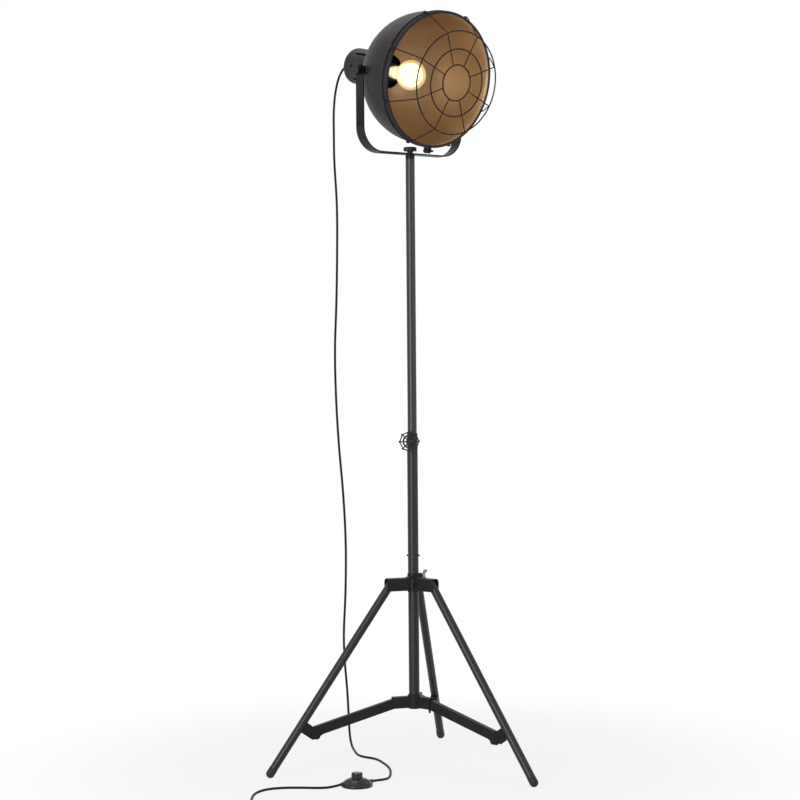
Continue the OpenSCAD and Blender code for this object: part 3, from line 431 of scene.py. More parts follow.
def turnedSheet(outline, steps, closed=False):
    # a line of (along, radius) pairs, turned once about X
    bm = bmesh.new()
    verts = [bm.verts.new((along, 0, radius)) for along, radius in outline]
    edges = [bm.edges.new(pair) for pair in zip(verts, verts[1:])]
    if closed:
        edges.append(bm.edges.new((verts[-1], verts[0])))
    bmesh.ops.spin(
        bm, geom=verts + edges, cent=(0, 0, 0), axis=(1, 0, 0), dvec=(0, 0, 0), angle=math.tau,
        steps=steps, use_merge=True, use_duplicate=False)
    bmesh.ops.remove_doubles(bm, verts=bm.verts, dist=0.002)
    return bm


def turnedShape(outline, steps=64, closed=True, edge=0.0):
    # a turned solid, drawn as a closed section or as a line that starts and ends on the axis
    bm = turnedSheet(outline, steps, closed)
    bmesh.ops.recalc_face_normals(bm, faces=bm.faces)
    return soften(bm, edge) if edge else bm


def pullFaces(bm, faces, step):
    # pulls faces out along a step, and gives the verts and the faces at its end
    grown = bmesh.ops.extrude_face_region(bm, geom=faces)["geom"]
    verts = [part for part in grown if isinstance(part, bmesh.types.BMVert)]
    bmesh.ops.translate(bm, vec=step, verts=verts)
    return verts, [part for part in grown if isinstance(part, bmesh.types.BMFace)]


def pulledShape(corners, step):
    bm = bmesh.new()
    face = bm.faces.new([bm.verts.new(corner) for corner in corners])
    pullFaces(bm, [face], step)
    bmesh.ops.recalc_face_normals(bm, faces=bm.faces)
    return bm


def plateShape(outline, thick, edge=0.0):
    # a flat outline of (x, z) pairs, thick along Y and centred on it
    bm = pulledShape([(x, -thick / 2, z) for x, z in outline], (0, thick, 0))
    return soften(bm, edge) if edge else bm


def arcPoints(x, z, radius, start, end, steps):
    points = []
    for i in range(steps + 1):
        angle = math.radians(start + (end - start) * i / steps)
        points.append((x + radius * math.cos(angle), z + radius * math.sin(angle)))
    return points


def sweptTube(path, radius, sides=12):
    # a ring drawn along a path of points, its rim pulled out at each one
    bm = bmesh.new()
    points = [Vector(point) for point in path]
    side = (points[1] - points[0]).normalized().orthogonal().normalized()
    last, first, ring = None, None, None
    for i, point in enumerate(points):
        before, after = points[max(i - 1, 0)], points[min(i + 1, len(points) - 1)]
        heading = (after - before).normalized()
        side = (side - side.dot(heading) * heading).normalized()
        facing = Matrix((side, heading.cross(side), heading)).transposed().to_4x4()
        place = Matrix.Translation(point) @ facing @ Matrix.Scale(radius, 4)
        if last is None:
            made = bmesh.ops.create_circle(bm, cap_ends=False, radius=1, segments=sides, matrix=place)
            ring = list({edge for vert in made["verts"] for edge in vert.link_edges})
            first = ring
        else:
            made = bmesh.ops.extrude_edge_only(bm, edges=ring)["geom"]
            verts = [part for part in made if isinstance(part, bmesh.types.BMVert)]
            edges = [part for part in made if isinstance(part, bmesh.types.BMEdge)]
            ring = [edge for edge in edges if all(vert in verts for vert in edge.verts)]
            bmesh.ops.transform(bm, matrix=place @ last.inverted(), verts=verts)
        last = place
    bmesh.ops.edgeloop_fill(bm, edges=first)
    bmesh.ops.edgeloop_fill(bm, edges=ring)
    bmesh.ops.recalc_face_normals(bm, faces=bm.faces)
    return bm


def smoothRoute(points, perSpan):
    # one smooth curve through the points
    points = [Vector(p) for p in points]
    ends = [points[0] * 2 - points[1]] + points + [points[-1] * 2 - points[-2]]
    route = []
    for a, b, c, d in zip(ends, ends[1:], ends[2:], ends[3:]):
        k0, k1, k2 = (b - a).length ** 0.5, (c - b).length ** 0.5, (d - c).length ** 0.5
        for step in range(perSpan):
            t = k1 * step / perSpan
            ab, bc, cd = a.lerp(b, (t + k0) / k0), b.lerp(c, t / k1), c.lerp(d, (t - k1) / k2)
            abc, bcd = ab.lerp(bc, (t + k0) / (k0 + k1)), bc.lerp(cd, t / (k1 + k2))
            route.append(abc.lerp(bcd, t / k1))
    return route + [points[-1]]


cordSet = {
    "diameter": 5.5,
    "headPart": 1300,     # height at which the first stretch, which hangs from the shade, ends
    "mastPart": 610,      # height at which the second stretch ends
    "floorPart": 120,     # height listed with the third stretch, near the floor
    "glandEnd": (-220.8, 0, 0),
    "upper": [
        (-178, 146, 1643), (-190, 153, 1635), (-200, 159, 1621), (-208, 164, 1600), (-214, 166, 1570),
        (-217, 166, 1530), (-217, 166, 1480), (-217, 167, 1424), (-212, 170, 1308), (-213, 172, 1194),
        (-216, 173, 1079), (-221, 175, 964), (-220, 178, 848), (-215, 183, 732), (-207, 189, 616),
        (-203, 194, 500), (-205, 197, 383), (-211, 200, 270), (-209, 202, 200), (-205, 206, 138),
        (-202, 209, 60), (-200, 207, 27), (-195, 199, 10), (-188, 182, 4), (-178, 155, 3),
        (-165, 118, 3), (-151, 89, 3), (-136, 74, 3), (-119, 68, 3), (-104, 58, 3), (-92, 40, 3),
        (-75, 10, 3), (-60, -20, 3), (-47, -55, 3), (-39, -90, 3), (-33, -125, 3), (-32, -155, 4),
        (-35, -175, 6), (-43, -191, 8)],
    "lower": [
        (-130, -259, 5), (-146, -267, 3), (-170, -271, 3), (-198, -273, 3), (-226, -277, 3),
        (-251, -285, 3), (-270, -298, 3), (-282, -318, 3), (-287, -345, 3), (-285, -375, 3),
        (-278, -410, 3), (-269, -450, 3), (-263, -485, 3)],
    "switchAt": (-87, -227),
    "switchTurn": 36.87,
    "switchReach": 39,
    "switchUp": 8,
    "coilAt": (-226, -516),
    "coilTurns": 4.25,
    "coilSteps": 28,      # points in each turn
    # from one number of turns to the next, the coil's radius and height ease over
    "coilRadii": [
        (0, 35.5), (0.6, 35.5), (0.95, 30), (1.6, 30), (1.95, 24.5), (2.9, 24.5), (3.2, 30), (3.9, 30),
        (4.2, 35.5), (4.25, 35.5)],
    "coilHeights": [(0, 3), (2.2, 3), (2.55, 8.5), (4.25, 8.5)],
    "plugAt": (-192, -551.5, 7),
}
switchFrame = standFrame @ moved(*cordSet["switchAt"], 0) @ turned("Z", cordSet["switchTurn"])


def eased(low, high, t):
    return low + (high - low) * t * t * (3 - 2 * t)


def settledRoute(points, gap=5.0, passes=14):
    # evenly spaced points on the route, eased until no kink is left; both ends stay
    route = smoothRoute(points, 12)
    far, steps = 0.0, []
    for a, b in zip(route, route[1:]):
        while far < (b - a).length:
            steps.append(a.lerp(b, far / (b - a).length))
            far += gap
        far -= (b - a).length
    if (steps[-1] - route[-1]).length < gap / 2:
        steps.pop()
    steps.append(route[-1])
    for _ in range(passes):
        middle = [(a + 2 * b + c) / 4 for a, b, c in zip(steps[1:], steps[2:], steps[3:])]
        steps = steps[:2] + middle + steps[-2:]
    return steps


def lookUp(table, at):
    # eases from one table entry to the next
    for (a, low), (b, high) in zip(table, table[1:]):
        if at <= b:
            return eased(low, high, (at - a) / (b - a))
    return table[-1][1]


def coilPath():
    points = []
    steps = int(cordSet["coilTurns"] * cordSet["coilSteps"])
    x, y = cordSet["coilAt"]
    for i in range(steps + 1):
        turn = cordSet["coilTurns"] * i / steps
        angle = math.pi + math.tau * turn
        radius = lookUp(cordSet["coilRadii"], turn)
        height = lookUp(cordSet["coilHeights"], turn)
        points.append(Vector((x + radius * math.cos(angle), y + radius * math.sin(angle), height)))
    return points


def cordPiece(name, path, body, stands):
    tube = sweptTube(path, cordSet["diameter"] / 2)
    return keepPiece(name, tube, standFrame, body, "cordSheath", stands, 60, even=False)


def makeUpperCord():
    # three stretches of one route, cut apart at two heights
    toStand = standFrame.inverted()
    glandEnd = toStand @ (headFrame @ Vector(cordSet["glandEnd"]))
    entry = toStand @ (switchFrame @ Vector((cordSet["switchReach"], 0, cordSet["switchUp"])))
    route = settledRoute([glandEnd] + cordSet["upper"] + [entry])
    headEnd = next(i for i, point in enumerate(route) if point.z < cordSet["headPart"])
    mastEnd = next(i for i, point in enumerate(route) if point.z < cordSet["mastPart"])
    stretches = {
        "mainsCordA": (0, headEnd, "head", "yoke", cordSet["headPart"]),
        "mainsCordB": (headEnd, mastEnd, "yoke", "mast", cordSet["mastPart"]),
        "mainsCordC": (mastEnd, len(route) - 1, "mast", "post", cordSet["floorPart"]),
    }
    for name, (start, end, first, second, footHeight) in stretches.items():
        path = route[start:end + 1]
        piece = cordPiece(name, path, second, ["cord_upper"])
        piece.parent = None
        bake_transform(piece)


def makeLowerCord():
    # from the foot switch over the floor, through the coil and out to the plug
    leave = Vector((-cordSet["switchReach"], 0, cordSet["switchUp"]))
    leave = standFrame.inverted() @ (switchFrame @ leave)
    coil, plug = coilPath(), Vector(cordSet["plugAt"])
    out = coil[-1]
    tail = []
    for t in (0.2, 0.4, 0.6, 0.8, 1.0):
        tail.append(Vector((out.x + (plug.x - out.x) * t, plug.y, eased(out.z, plug.z, t))))
    path = settledRoute([leave] + cordSet["lower"] + [coil[0]]) + coil[1:] + tail
    piece = cordPiece("mainsCordD", path, "post", ["cord_lower", "cord_coil", "cord_tail"])
    return piece, [standFrame @ point for point in path]


plugSet = {
    "reliefLong": 24,
    "reliefWall": 0.8,    # round the cord where it leaves
    "reliefEnd": 5.5,
    "ribs": 5,
    "ribDeep": 0.7,
    "ribEdge": 0.4,
    "grip": 0.1,          # how far the hole closes on the cord
    "body": [(24, -8), (30, -13), (59, -17.5), (59, 17.5), (30, 13), (24, 8)],
    "high": 13.6,
    "round": 2.4,
    "pinsAt": 59,
    "pinApart": 9.5,
    "pin": [(-1, 0), (-1, 2), (17.8, 2), (18.6, 1.6), (19, 0.8), (19, 0)],
}


def makePlug():
    # flat two-pin plug: rounded moulded body, ribbed strain relief and two round pins
    place = standFrame @ moved(*cordSet["plugAt"])
    cord, end, long = cordSet["diameter"] / 2, plugSet["reliefEnd"], plugSet["reliefLong"]
    start, deep, edge = cord + plugSet["reliefWall"], plugSet["ribDeep"], plugSet["ribEdge"]
    outline = [(0, cord - plugSet["grip"]), (0, start)]
    for i in range(plugSet["ribs"]):
        a, b = long * (i + 0.25) / plugSet["ribs"], long * (i + 0.7) / plugSet["ribs"]
        outA, outB = start + (end - start) * a / long, start + (end - start) * b / long
        outline += [(a, outA), (a + edge, outA - deep), (b, outB - deep), (b + edge, outB)]
    outline += [(long, end), (long + 2, end), (long + 2, 1)]
    bm = turnedShape(outline, 32, edge=0.15)
    high = plugSet["high"]
    body = pulledShape([(x, y, -high / 2) for x, y in plugSet["body"]], (0, 0, high))
    addShape(bm, soften(body, plugSet["round"], 5, 15))
    plug = keepPiece("plugBody", bm, place, "post", "rubber", ["plug_body"])
    pins = bmesh.new()
    for y in (-plugSet["pinApart"], plugSet["pinApart"]):
        addShape(pins, turnedShape(plugSet["pin"], 24, closed=False), moved(plugSet["pinsAt"], y, 0))
    return plug, keepPiece("plugPins", pins, place, "post", "nickel", ["plug_pins"])


switchSet = {
    "base": [
        (0, 0), (0, 34), (0.6, 34.8), (1.8, 35), (4.6, 35), (5.6, 34.8), (8.2, 33.2), (11, 30),
        (13.6, 26.6), (15.8, 22.9), (17.4, 19.2), (18.2, 16.9), (18.5, 15.6), (18.5, 13.2), (18, 12.9),
        (5.5, 12.9), (5.5, 0)],
    "button": [
        (8.9, 0), (8.9, 12.5), (28.2, 12.5), (29.3, 12.3), (30.2, 11.6), (30.8, 10.6), (31, 9.6), (31, 0)],
    "sleeve": [(27, 2.6), (27, 4.25), (37.6, 4.25), (38.6, 3.9), (39, 3.3), (39, 2.6)],
}


def makeSwitch():
    # moulded foot switch: a domed base, a big round button and a short sleeve at each cord
    base = turnedShape(switchSet["base"], 96, closed=False)
    bmesh.ops.transform(base, matrix=upright, verts=base.verts)
    for end in (0, 180):
        sleeve = turnedShape(switchSet["sleeve"], 32)
        addShape(base, sleeve, turned("Z", end) @ moved(0, 0, cordSet["switchUp"]))
    base = keepPiece("footSwitchBase", base, switchFrame, "post", "switchPlastic", ["switch_base"], 50)
    button = turnedShape(switchSet["button"], 96, closed=False)
    place = switchFrame @ upright
    return base, keepPiece(
        "footSwitchButton", button, place, "switch_button", "switchPlastic", ["switch_button"], 50)


glandSet = {
    "at": -196.504,    # on the back of the housing
    "outline": [
        (0, 3), (0, 9), (-3.4, 9), (-4, 8.6), (-4.6, 7.1), (-7, 6.8), (-7.5, 6.1), (-10, 5.8), (-10.5, 5.5),
        (-13, 5.3), (-13.5, 4.9), (-16, 4.8), (-16.5, 4.5), (-19, 4.3), (-19.5, 4.15), (-23.4, 4.0),
        (-24, 3.6), (-24, 2.6)],
}


def makeGland():
    # a collar and a ribbed sleeve that thins out
    bm = turnedShape(shifted(glandSet["outline"], glandSet["at"]), 40)
    keepPiece("cordGland", bm, headFrame, "head", "rubber", ["cord_gland"], 30, slot="black_plastic")


makeUpperCord()
lowerCord, lowerPath = makeLowerCord()
plugPieces = makePlug()
switchPieces = makeSwitch()
makeGland()
print("cords, plug and foot switch made")


def tubePiece(name, node, wall, body, finish):
    # a drawn tube with its ends rounded over
    low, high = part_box(node)
    radius = (high.x - low.x) * 500
    bottom, top = low.z * 1000, high.z * 1000
    outline = [(bottom, radius - wall), (bottom, radius), (top, radius), (top, radius - wall)]
    keepPiece(name, turnedShape(outline, edge=0.3), standFrame @ upright, body, finish, [node])


def rivetShape(half, head, shankRadius, headRadius):
    # a rivet or pin across X with a domed head at both ends
    dome = [(0, 1), (0.5, 0.92), (0.85, 0.66), (1, 0.3), (1, 0)]
    dome = [(half + head * along, headRadius * out) for along, out in dome]
    outline = [(-x, r) for x, r in reversed(dome)] + [(-half, shankRadius), (half, shankRadius)] + dome
    return turnedShape(outline, 32, closed=False)


postSet = {
    "wall": 1.0,
    "pinUp": 9,                       # cross pin above the seam of the two tubes
    "pin": (12.3, 3.2, 1.5, 2.4),     # half length, head, shank radius and head radius
    "bush": [(-30, 10.6), (-30, 11.2), (0, 11.2), (0, 12.25), (1.5, 12.25), (1.5, 10.6)],
    "boss": [(11.8, 4.1), (11.8, 7.5), (25, 7.5), (25, 4.1)],
    "cap": [(0, 0), (0, 13.25), (1.5, 13.25), (1.5, 11.2), (11.5, 11.2), (11.5, 0)],
}


def makePost():
    tubePiece("postLowerTube", "post_lower_tube", postSet["wall"], "post", "tubePaint")
    tubePiece("postUpperTube", "post_upper_tube", postSet["wall"], "post", "tubePaint")
    seam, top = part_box("post_upper_tube")
    pinPlace = standFrame @ moved(0, 0, seam.z * 1000 + postSet["pinUp"])
    keepPiece("postJointPin", rivetShape(*postSet["pin"]), pinPlace, "post", "blackPaint", ["joint_pin"])
    bush = turnedShape(shifted(postSet["bush"], top.z * 1000), edge=0.25)
    keepPiece("guideBush", bush, standFrame @ upright, "post", "plastic", ["post_bush"])
    boss = turnedShape(postSet["boss"], 48, edge=0.7)
    bossPlace = standFrame @ moved(0, 0, clampZ) @ forwards
    keepPiece("clampBoss", boss, bossPlace, "post", "blackPaint", ["clamp_boss"])
    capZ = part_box("post_end_cap")[0].z * 1000
    cap = turnedShape(shifted(postSet["cap"], capZ), closed=False, edge=0.4)
    keepPiece("postEndCap", cap, standFrame @ upright, "post", "rubber", ["post_end_cap"])


mastSet = {
    "wall": 1.2,
    "plugRadius": 9.3,
    "collarRadius": 10.5,
    "collar": (9.5, 1.6),    # its lower and upper end, below the strap
    "stud": 3.95,
    "washer": [(-1.5, 4), (-1.5, 10.5), (0, 10.5), (0, 4)],
}


def makeMast():
    tubePiece("mastTube", "mast_tube", mastSet["wall"], "mast", "mastPaint")
    bottom, top = (corner.z * 1000 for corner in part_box("mast_plug"))
    low, high = (strapZ - down for down in mastSet["collar"])
    radius, collar, stud = mastSet["plugRadius"], mastSet["collarRadius"], mastSet["stud"]
    outline = [(bottom, 0), (bottom, radius), (low, radius), (low, collar), (high, collar)]
    outline += [(high, stud), (top, stud), (top, 0)]
    plug = turnedShape(outline, closed=False, edge=0.35)
    keepPiece("mastPlug", plug, standFrame @ upright, "mast", "blackPaint", ["mast_plug"])
    washer = turnedShape(shifted(mastSet["washer"], strapZ), edge=0.3)
    keepPiece("yokeWasher", washer, standFrame @ upright, "yoke", "steel", ["yoke_washer"])


wheelSet = {
    "out": 36,
    "turn": 2,
    "spokes": 8,
    "rim": 22.3,
    "rimWire": 1.5,
    "bead": 2.7,
    "ring": 14,
    "ringWire": 2.0,
    "spoke": [(5, 0), (5, 1.9), (9, 1.4)],
    "spokeTip": 1.3,
    "hub": [
        (-7.5, 0), (-7.5, 6.2), (-6, 7), (5.5, 7), (6.3, 5.8), (7.5, 5.2), (7.5, 3.2), (6.1, 3.0), (6.1, 0)],
}


def makeHandwheel():
    # cast handwheel: an eight-sided rim with a bead at each corner, an inner ring, eight spokes and a hub
    bm = bmesh.new()
    rim = turnedShape(arcPoints(0, wheelSet["rim"], wheelSet["rimWire"], 0, 330, 11), wheelSet["spokes"])
    ring = turnedShape(arcPoints(0, wheelSet["ring"], wheelSet["ringWire"], 0, 337.5, 15), 72)
    addShape(bm, rim, turned("X", wheelSet["turn"]))
    addShape(bm, ring)
    spoke = wheelSet["spoke"] + [(wheelSet["rim"], wheelSet["spokeTip"]), (wheelSet["rim"], 0)]
    for i in range(wheelSet["spokes"]):
        place = turned("X", wheelSet["turn"] + 360 / wheelSet["spokes"] * i)
        bead = bmesh.new()
        bmesh.ops.create_uvsphere(bead, u_segments=24, v_segments=14, radius=wheelSet["bead"])
        addShape(bm, bead, place @ moved(0, 0, wheelSet["rim"]))
        addShape(bm, turnedShape(spoke, 16, closed=False), place @ upright)
    addShape(bm, turnedShape(wheelSet["hub"], 40, closed=False, edge=0.3))
    place = standFrame @ moved(0, -wheelSet["out"], clampZ) @ forwards
    keepPiece("clampHandwheel", bm, place, "handwheel", "blackPaint", ["handwheel"])


makePost()
makeMast()
makeHandwheel()
print("post, mast and handwheel made")


foldSet = {"radius": 1.6, "edge": 0.25}


def channelShape(outline, half, sheet, isOpen):
    # a folded sheet channel: the outline is pulled out to its width, its open faces are cut away,
    # its folds are rounded and the sheet gets its thickness
    bm = plateShape(outline, 2 * half)
    gone = [face for face in bm.faces if isOpen(face.normal, face.calc_center_median())]
    bmesh.ops.delete(bm, geom=gone, context="FACES")
    bmesh.ops.recalc_face_normals(bm, faces=bm.faces)
    top = max(bm.faces, key=lambda face: face.calc_center_median().z)
    if top.normal.z < 0:
        bmesh.ops.reverse_faces(bm, faces=bm.faces)
    folds = [edge for edge in bm.edges if len(edge.link_faces) == 2 and edge.calc_face_angle() > 1]
    roundEdges(bm, folds, foldSet["radius"], 4)
    bmesh.ops.solidify(bm, geom=bm.faces[:], thickness=sheet)
    return soften(bm, foldSet["edge"], 2, 60)


def armsAndPins(values, outline, isOpen, reach, height):
    # one folded arm and one cross pin for each leg
    arms, pins = bmesh.new(), bmesh.new()
    for side in stance["legSides"]:
        arm = channelShape(outline, values["half"], values["sheet"], isOpen)
        addShape(arms, arm, sideTurn(side) @ moved(0, 0, height))
        pin = rivetShape(values["half"], *values["pin"])
        addShape(pins, pin, sideTurn(side) @ moved(reach, 0, height) @ sideways)
    return arms, pins


crownSet = {
    "height": 29,
    "start": 11,
    "end": 67,
    "half": 11,
    "sheet": 1.2,
    "corner": 7,
    "bore": 12.35,
    "radius": 14,
    "collarTop": 24.5,
    "collarLow": -18,
    "coneOut": 6,            # weld seam on top of the arms
    "coneUp": 3,
    "pin": (1.6, 3, 4.5),    # head, shank radius and head radius
    "wingBoss": [(12.75, 3.1), (12.75, 5.4), (20, 5.4), (20, 3.1)],
    "wingDown": 5.5,
    "wingNut": [(12.5, 0), (12.5, 3), (20.5, 3), (20.5, 5), (27, 4.7), (28, 3.8), (28, 0)],
    "wing": [
        (22.5, 2), (23.4, 8), (25.2, 12), (27.6, 13), (31.5, 13), (33.6, 12), (34.4, 10), (32.4, 7), (28, 2)],
    "wingThick": 2.4,
    "frontBoss": [(12.75, 0), (12.75, 5.5), (16.5, 5.5), (16.5, 0)],
    "frontBolt": [(16.5, 0), (16.5, 4.5), (18.9, 4.5), (19.5, 3.7), (19.5, 2.4), (18.2, 2.2), (18.2, 0)],
    "frontDown": 3.4,
    "screw": [(13.6, 0), (13.6, 2.6), (14.8, 2.5), (15.6, 1.7), (15.8, 0)],
    "screwDown": 3.8,
}


def makeCrown():
    high, start, end, corner = crownSet["height"] / 2, crownSet["start"], crownSet["end"], crownSet["corner"]
    outline = [(start, -high), (end, -high)] + arcPoints(end - corner, high - corner, corner, 0, 90, 8)
    outline += [(start, high)]

    def isOpen(normal, centre):
        return normal.z < -0.9 or normal.x < -0.9 or (normal.x > 0.15 and centre.z < high - 0.6)

    bm, pins = armsAndPins(crownSet, outline, isOpen, stance["legPivot"], crownZ)
    low, top = crownZ + crownSet["collarLow"], crownZ + crownSet["collarTop"]
    bore, radius, seam = crownSet["bore"], crownSet["radius"], crownZ + high
    outline = [(low, bore), (low, radius), (seam - 0.4, radius), (seam - 0.4, radius + crownSet["coneOut"])]
    outline += [(seam + crownSet["coneUp"], radius - 0.2), (top, radius), (top, bore)]
    addShape(bm, turnedShape(outline, 96, edge=0.5), upright)
    wingPlace = turned("Z", stance["wingTurn"]) @ moved(0, 0, top - crownSet["wingDown"])
    addShape(bm, turnedShape(crownSet["wingBoss"], 40, edge=0.4), wingPlace)
    frontPlace = moved(0, 0, crownZ - crownSet["frontDown"]) @ forwards
    addShape(bm, turnedShape(crownSet["frontBoss"], 40, closed=False, edge=0.4), frontPlace)
    keepPiece("tripodCrown", bm, standFrame, "crown", "blackPaint", ["crown"])
    keepPiece("crownPins", pins, standFrame, "crown", "steel", ["crown_pins"])
    screws = bmesh.new()
    addShape(screws, turnedShape(crownSet["frontBolt"], 6, closed=False, edge=0.2), frontPlace)
    screwPlace = moved(0, 0, top - crownSet["screwDown"]) @ forwards
    addShape(screws, turnedShape(crownSet["screw"], 32, closed=False), screwPlace)
    keepPiece("crownScrews", screws, standFrame, "crown", "steel", ["crown_screws"])
    # zinc wing bolt: two flared wings on a round nut
    wings = turnedShape(crownSet["wingNut"], 40, closed=False, edge=0.3)
    for flip in (1, -1):
        outline = [(along, out * flip) for along, out in crownSet["wing"]]
        addShape(wings, plateShape(outline, crownSet["wingThick"], 0.8))
    keepPiece("wingBolt", wings, standFrame @ wingPlace, "wing_bolt", "zinc", ["wing_bolt"])


hubSet = {
    "height": 26,
    "start": 11,
    "end": 53,
    "half": 8.8,
    "sheet": 1.5,
    "pin": (1.8, 2.5, 4),
    "bore": 12.25,
    "radius": 14.25,
    "coneOut": 2.25,    # weld seam on top of the arms
    "coneUp": 4.4,
    "lip": 1,
}


def makeHub():
    high, start, end = hubSet["height"] / 2, hubSet["start"], hubSet["end"]
    outline = [(start, -high), (end, -high), (end, high), (start, high)]

    def isOpen(normal, centre):
        return normal.z < -0.9 or abs(normal.x) > 0.9

    bm, pins = armsAndPins(hubSet, outline, isOpen, stance["hubPivot"], hubZ)
    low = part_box("post_lower_tube")[0].z * 1000
    bore, radius, seam = hubSet["bore"], hubSet["radius"], hubZ + high
    top = seam + hubSet["coneUp"]
    outline = [(low, bore), (low, radius), (seam - 0.4, radius), (seam - 0.4, radius + hubSet["coneOut"])]
    outline += [(top, bore + hubSet["lip"]), (top, bore)]
    addShape(bm, turnedShape(outline, 96, edge=0.4), upright)
    keepPiece("tripodHub", bm, standFrame, "post", "blackPaint", ["bottom_hub"])
    keepPiece("hubPins", pins, standFrame, "post", "steel", ["hub_pins"])


legSet = {
    "long": 505,
    "start": -7,
    "radius": 9.5,
    "wall": 1.2,
    "plug": (-8.5, -7.2, -6.9, 14),    # its face, its rim and its inner end along the leg
    "footRadius": 10.1,
    "sleeve": 14,
    "kneeUp": 127,
    "kneeIn": 42.5,
    "nose": 8.5,
    "cheekHalf": 13,
    "cheekTop": -6,
    "webOut": 1.5,      # how far the web stands off the tube, and how far it sinks in
    "webIn": 1,
    "forkHalf": 8.8,
    "sheet": 1.5,
    "rivet": [(0, 4), (1, 3.7), (1.6, 2.7), (1.8, 0), (0, 0)],
}


def makeFoot(side):
    # rubber cap with a round end, cut flat where it stands on the floor
    long, radius, foot = legSet["long"], legSet["radius"], legSet["footRadius"]
    start = long - legSet["sleeve"]
    outline = [(start, radius), (start, foot - 0.1), (start + 0.3, foot)]
    outline += arcPoints(long, 0, foot, 90, 0, 14)
    bm = turnedShape(outline, closed=False)
    bmesh.ops.transform(bm, matrix=legFrame(side), verts=bm.verts)
    bmesh.ops.bisect_plane(bm, geom=allOf(bm), plane_co=(0, 0, 0), plane_no=(0, 0, 1), clear_inner=True)
    sole = [edge for edge in bm.edges if edge.is_boundary and all(abs(v.co.z) < 1e-6 for v in edge.verts)]
    bmesh.ops.holes_fill(bm, edges=sole)
    # it is in metres by now, so points up to 4 mm apart are merged and the foot stays coarse
    keepPiece("legFoot" + side.capitalize(), bm, Matrix(), "leg_" + side, "rubber", ["leg_" + side + "_foot"])


def makeBracket(side):
    # two cheeks and a web, riveted to the strut
    at, deep, half = legSet["long"] - legSet["kneeUp"], legSet["kneeIn"], legSet["forkHalf"]
    wide, tall, sheet = legSet["cheekHalf"], legSet["cheekTop"], legSet["sheet"]
    cheek = [(at - wide, tall), (at - wide, -deep + 4)] + arcPoints(at, -deep, legSet["nose"], -170, -10, 12)
    cheek += [(at + wide, -deep + 4), (at + wide, tall)]
    low, top = -legSet["radius"] - legSet["webOut"], -legSet["radius"] + legSet["webIn"]
    web = [(at - wide, top), (at - wide, low), (at + wide, low), (at + wide, top)]
    bm = plateShape(web, 2 * half - 1, 0.2)
    for flip in (1, -1):
        addShape(bm, plateShape(cheek, sheet, 0.3), moved(0, flip * (half - sheet / 2), 0))
        rivet = turnedShape(shifted(legSet["rivet"], half), 32, closed=False)
        addShape(bm, rivet, moved(at, 0, -deep) @ turned("Z", 90 * flip))
    name = "legBracket" + side.capitalize()
    keepPiece(name, bm, legFrame(side), "leg_" + side, "blackPaint", ["leg_" + side + "_bracket"])


def makeLeg(side):
    name, body, place = side.capitalize(), "leg_" + side, legFrame(side)
    start, end = legSet["start"], legSet["long"] - 2
    radius, inside = legSet["radius"], legSet["radius"] - legSet["wall"]
    tube = turnedShape([(start, inside), (start, radius), (end, radius), (end, inside)], 48, edge=0.3)
    keepPiece("legTube" + name, tube, place, body, "tubePaint", [body])
    face, rim, seat, deep = legSet["plug"]
    outline = [(face, 0), (face, inside), (rim, radius), (seat, radius), (seat, inside), (deep, inside)]
    plug = turnedShape(outline + [(deep, 0)], 48, closed=False)
    keepPiece("legEnd" + name, plug, place, body, "plastic", [body + "_end"])
    makeFoot(side)
    makeBracket(side)


strutSet = {"high": 22, "half": 7, "sheet": 1.5, "drop": 9.5, "tip": 8, "corner": (12, 10), "heel": 16}


def makeStrut(side):
    # a channel whose tip drops to the rivet in the leg's bracket
    lean, knee, deep = math.radians(stance["legAngle"]), legSet["long"] - legSet["kneeUp"], legSet["kneeIn"]
    out = stance["legPivot"] - stance["hubPivot"] + knee * math.sin(lean) - deep * math.cos(lean)
    below = hubZ - crownZ + knee * math.cos(lean) + deep * math.sin(lean)
    high, drop, nose = strutSet["high"] / 2, strutSet["drop"], strutSet["tip"]
    long = math.sqrt(out ** 2 + below ** 2 - drop ** 2)
    tip, (along, down) = long + nose, strutSet["corner"]
    outline = arcPoints(0, 0, high, 270, 90, 12) + [(tip - along, high), (tip, high - down)]
    outline += arcPoints(long, -drop, nose, 0, -150, 10) + [(long - strutSet["heel"], -high)]

    def isOpen(normal, centre):
        return abs(normal.y) < 0.5 and normal.z <= 0.95

    bm = channelShape(outline, strutSet["half"], strutSet["sheet"], isOpen)
    name, body = "strut" + side.capitalize(), "strut_" + side
    keepPiece(name, bm, strutFrame(side), body, "blackPaint", [body])


makeCrown()
makeHub()
for legSide in stance["legSides"]:
    makeLeg(legSide)
    makeStrut(legSide)
print("tripod made")


yokeSet = {"half": 13.5, "thick": 3, "flat": 90.5, "bend": 56, "armTop": 196.4, "armUp": 183, "edge": 0.45}


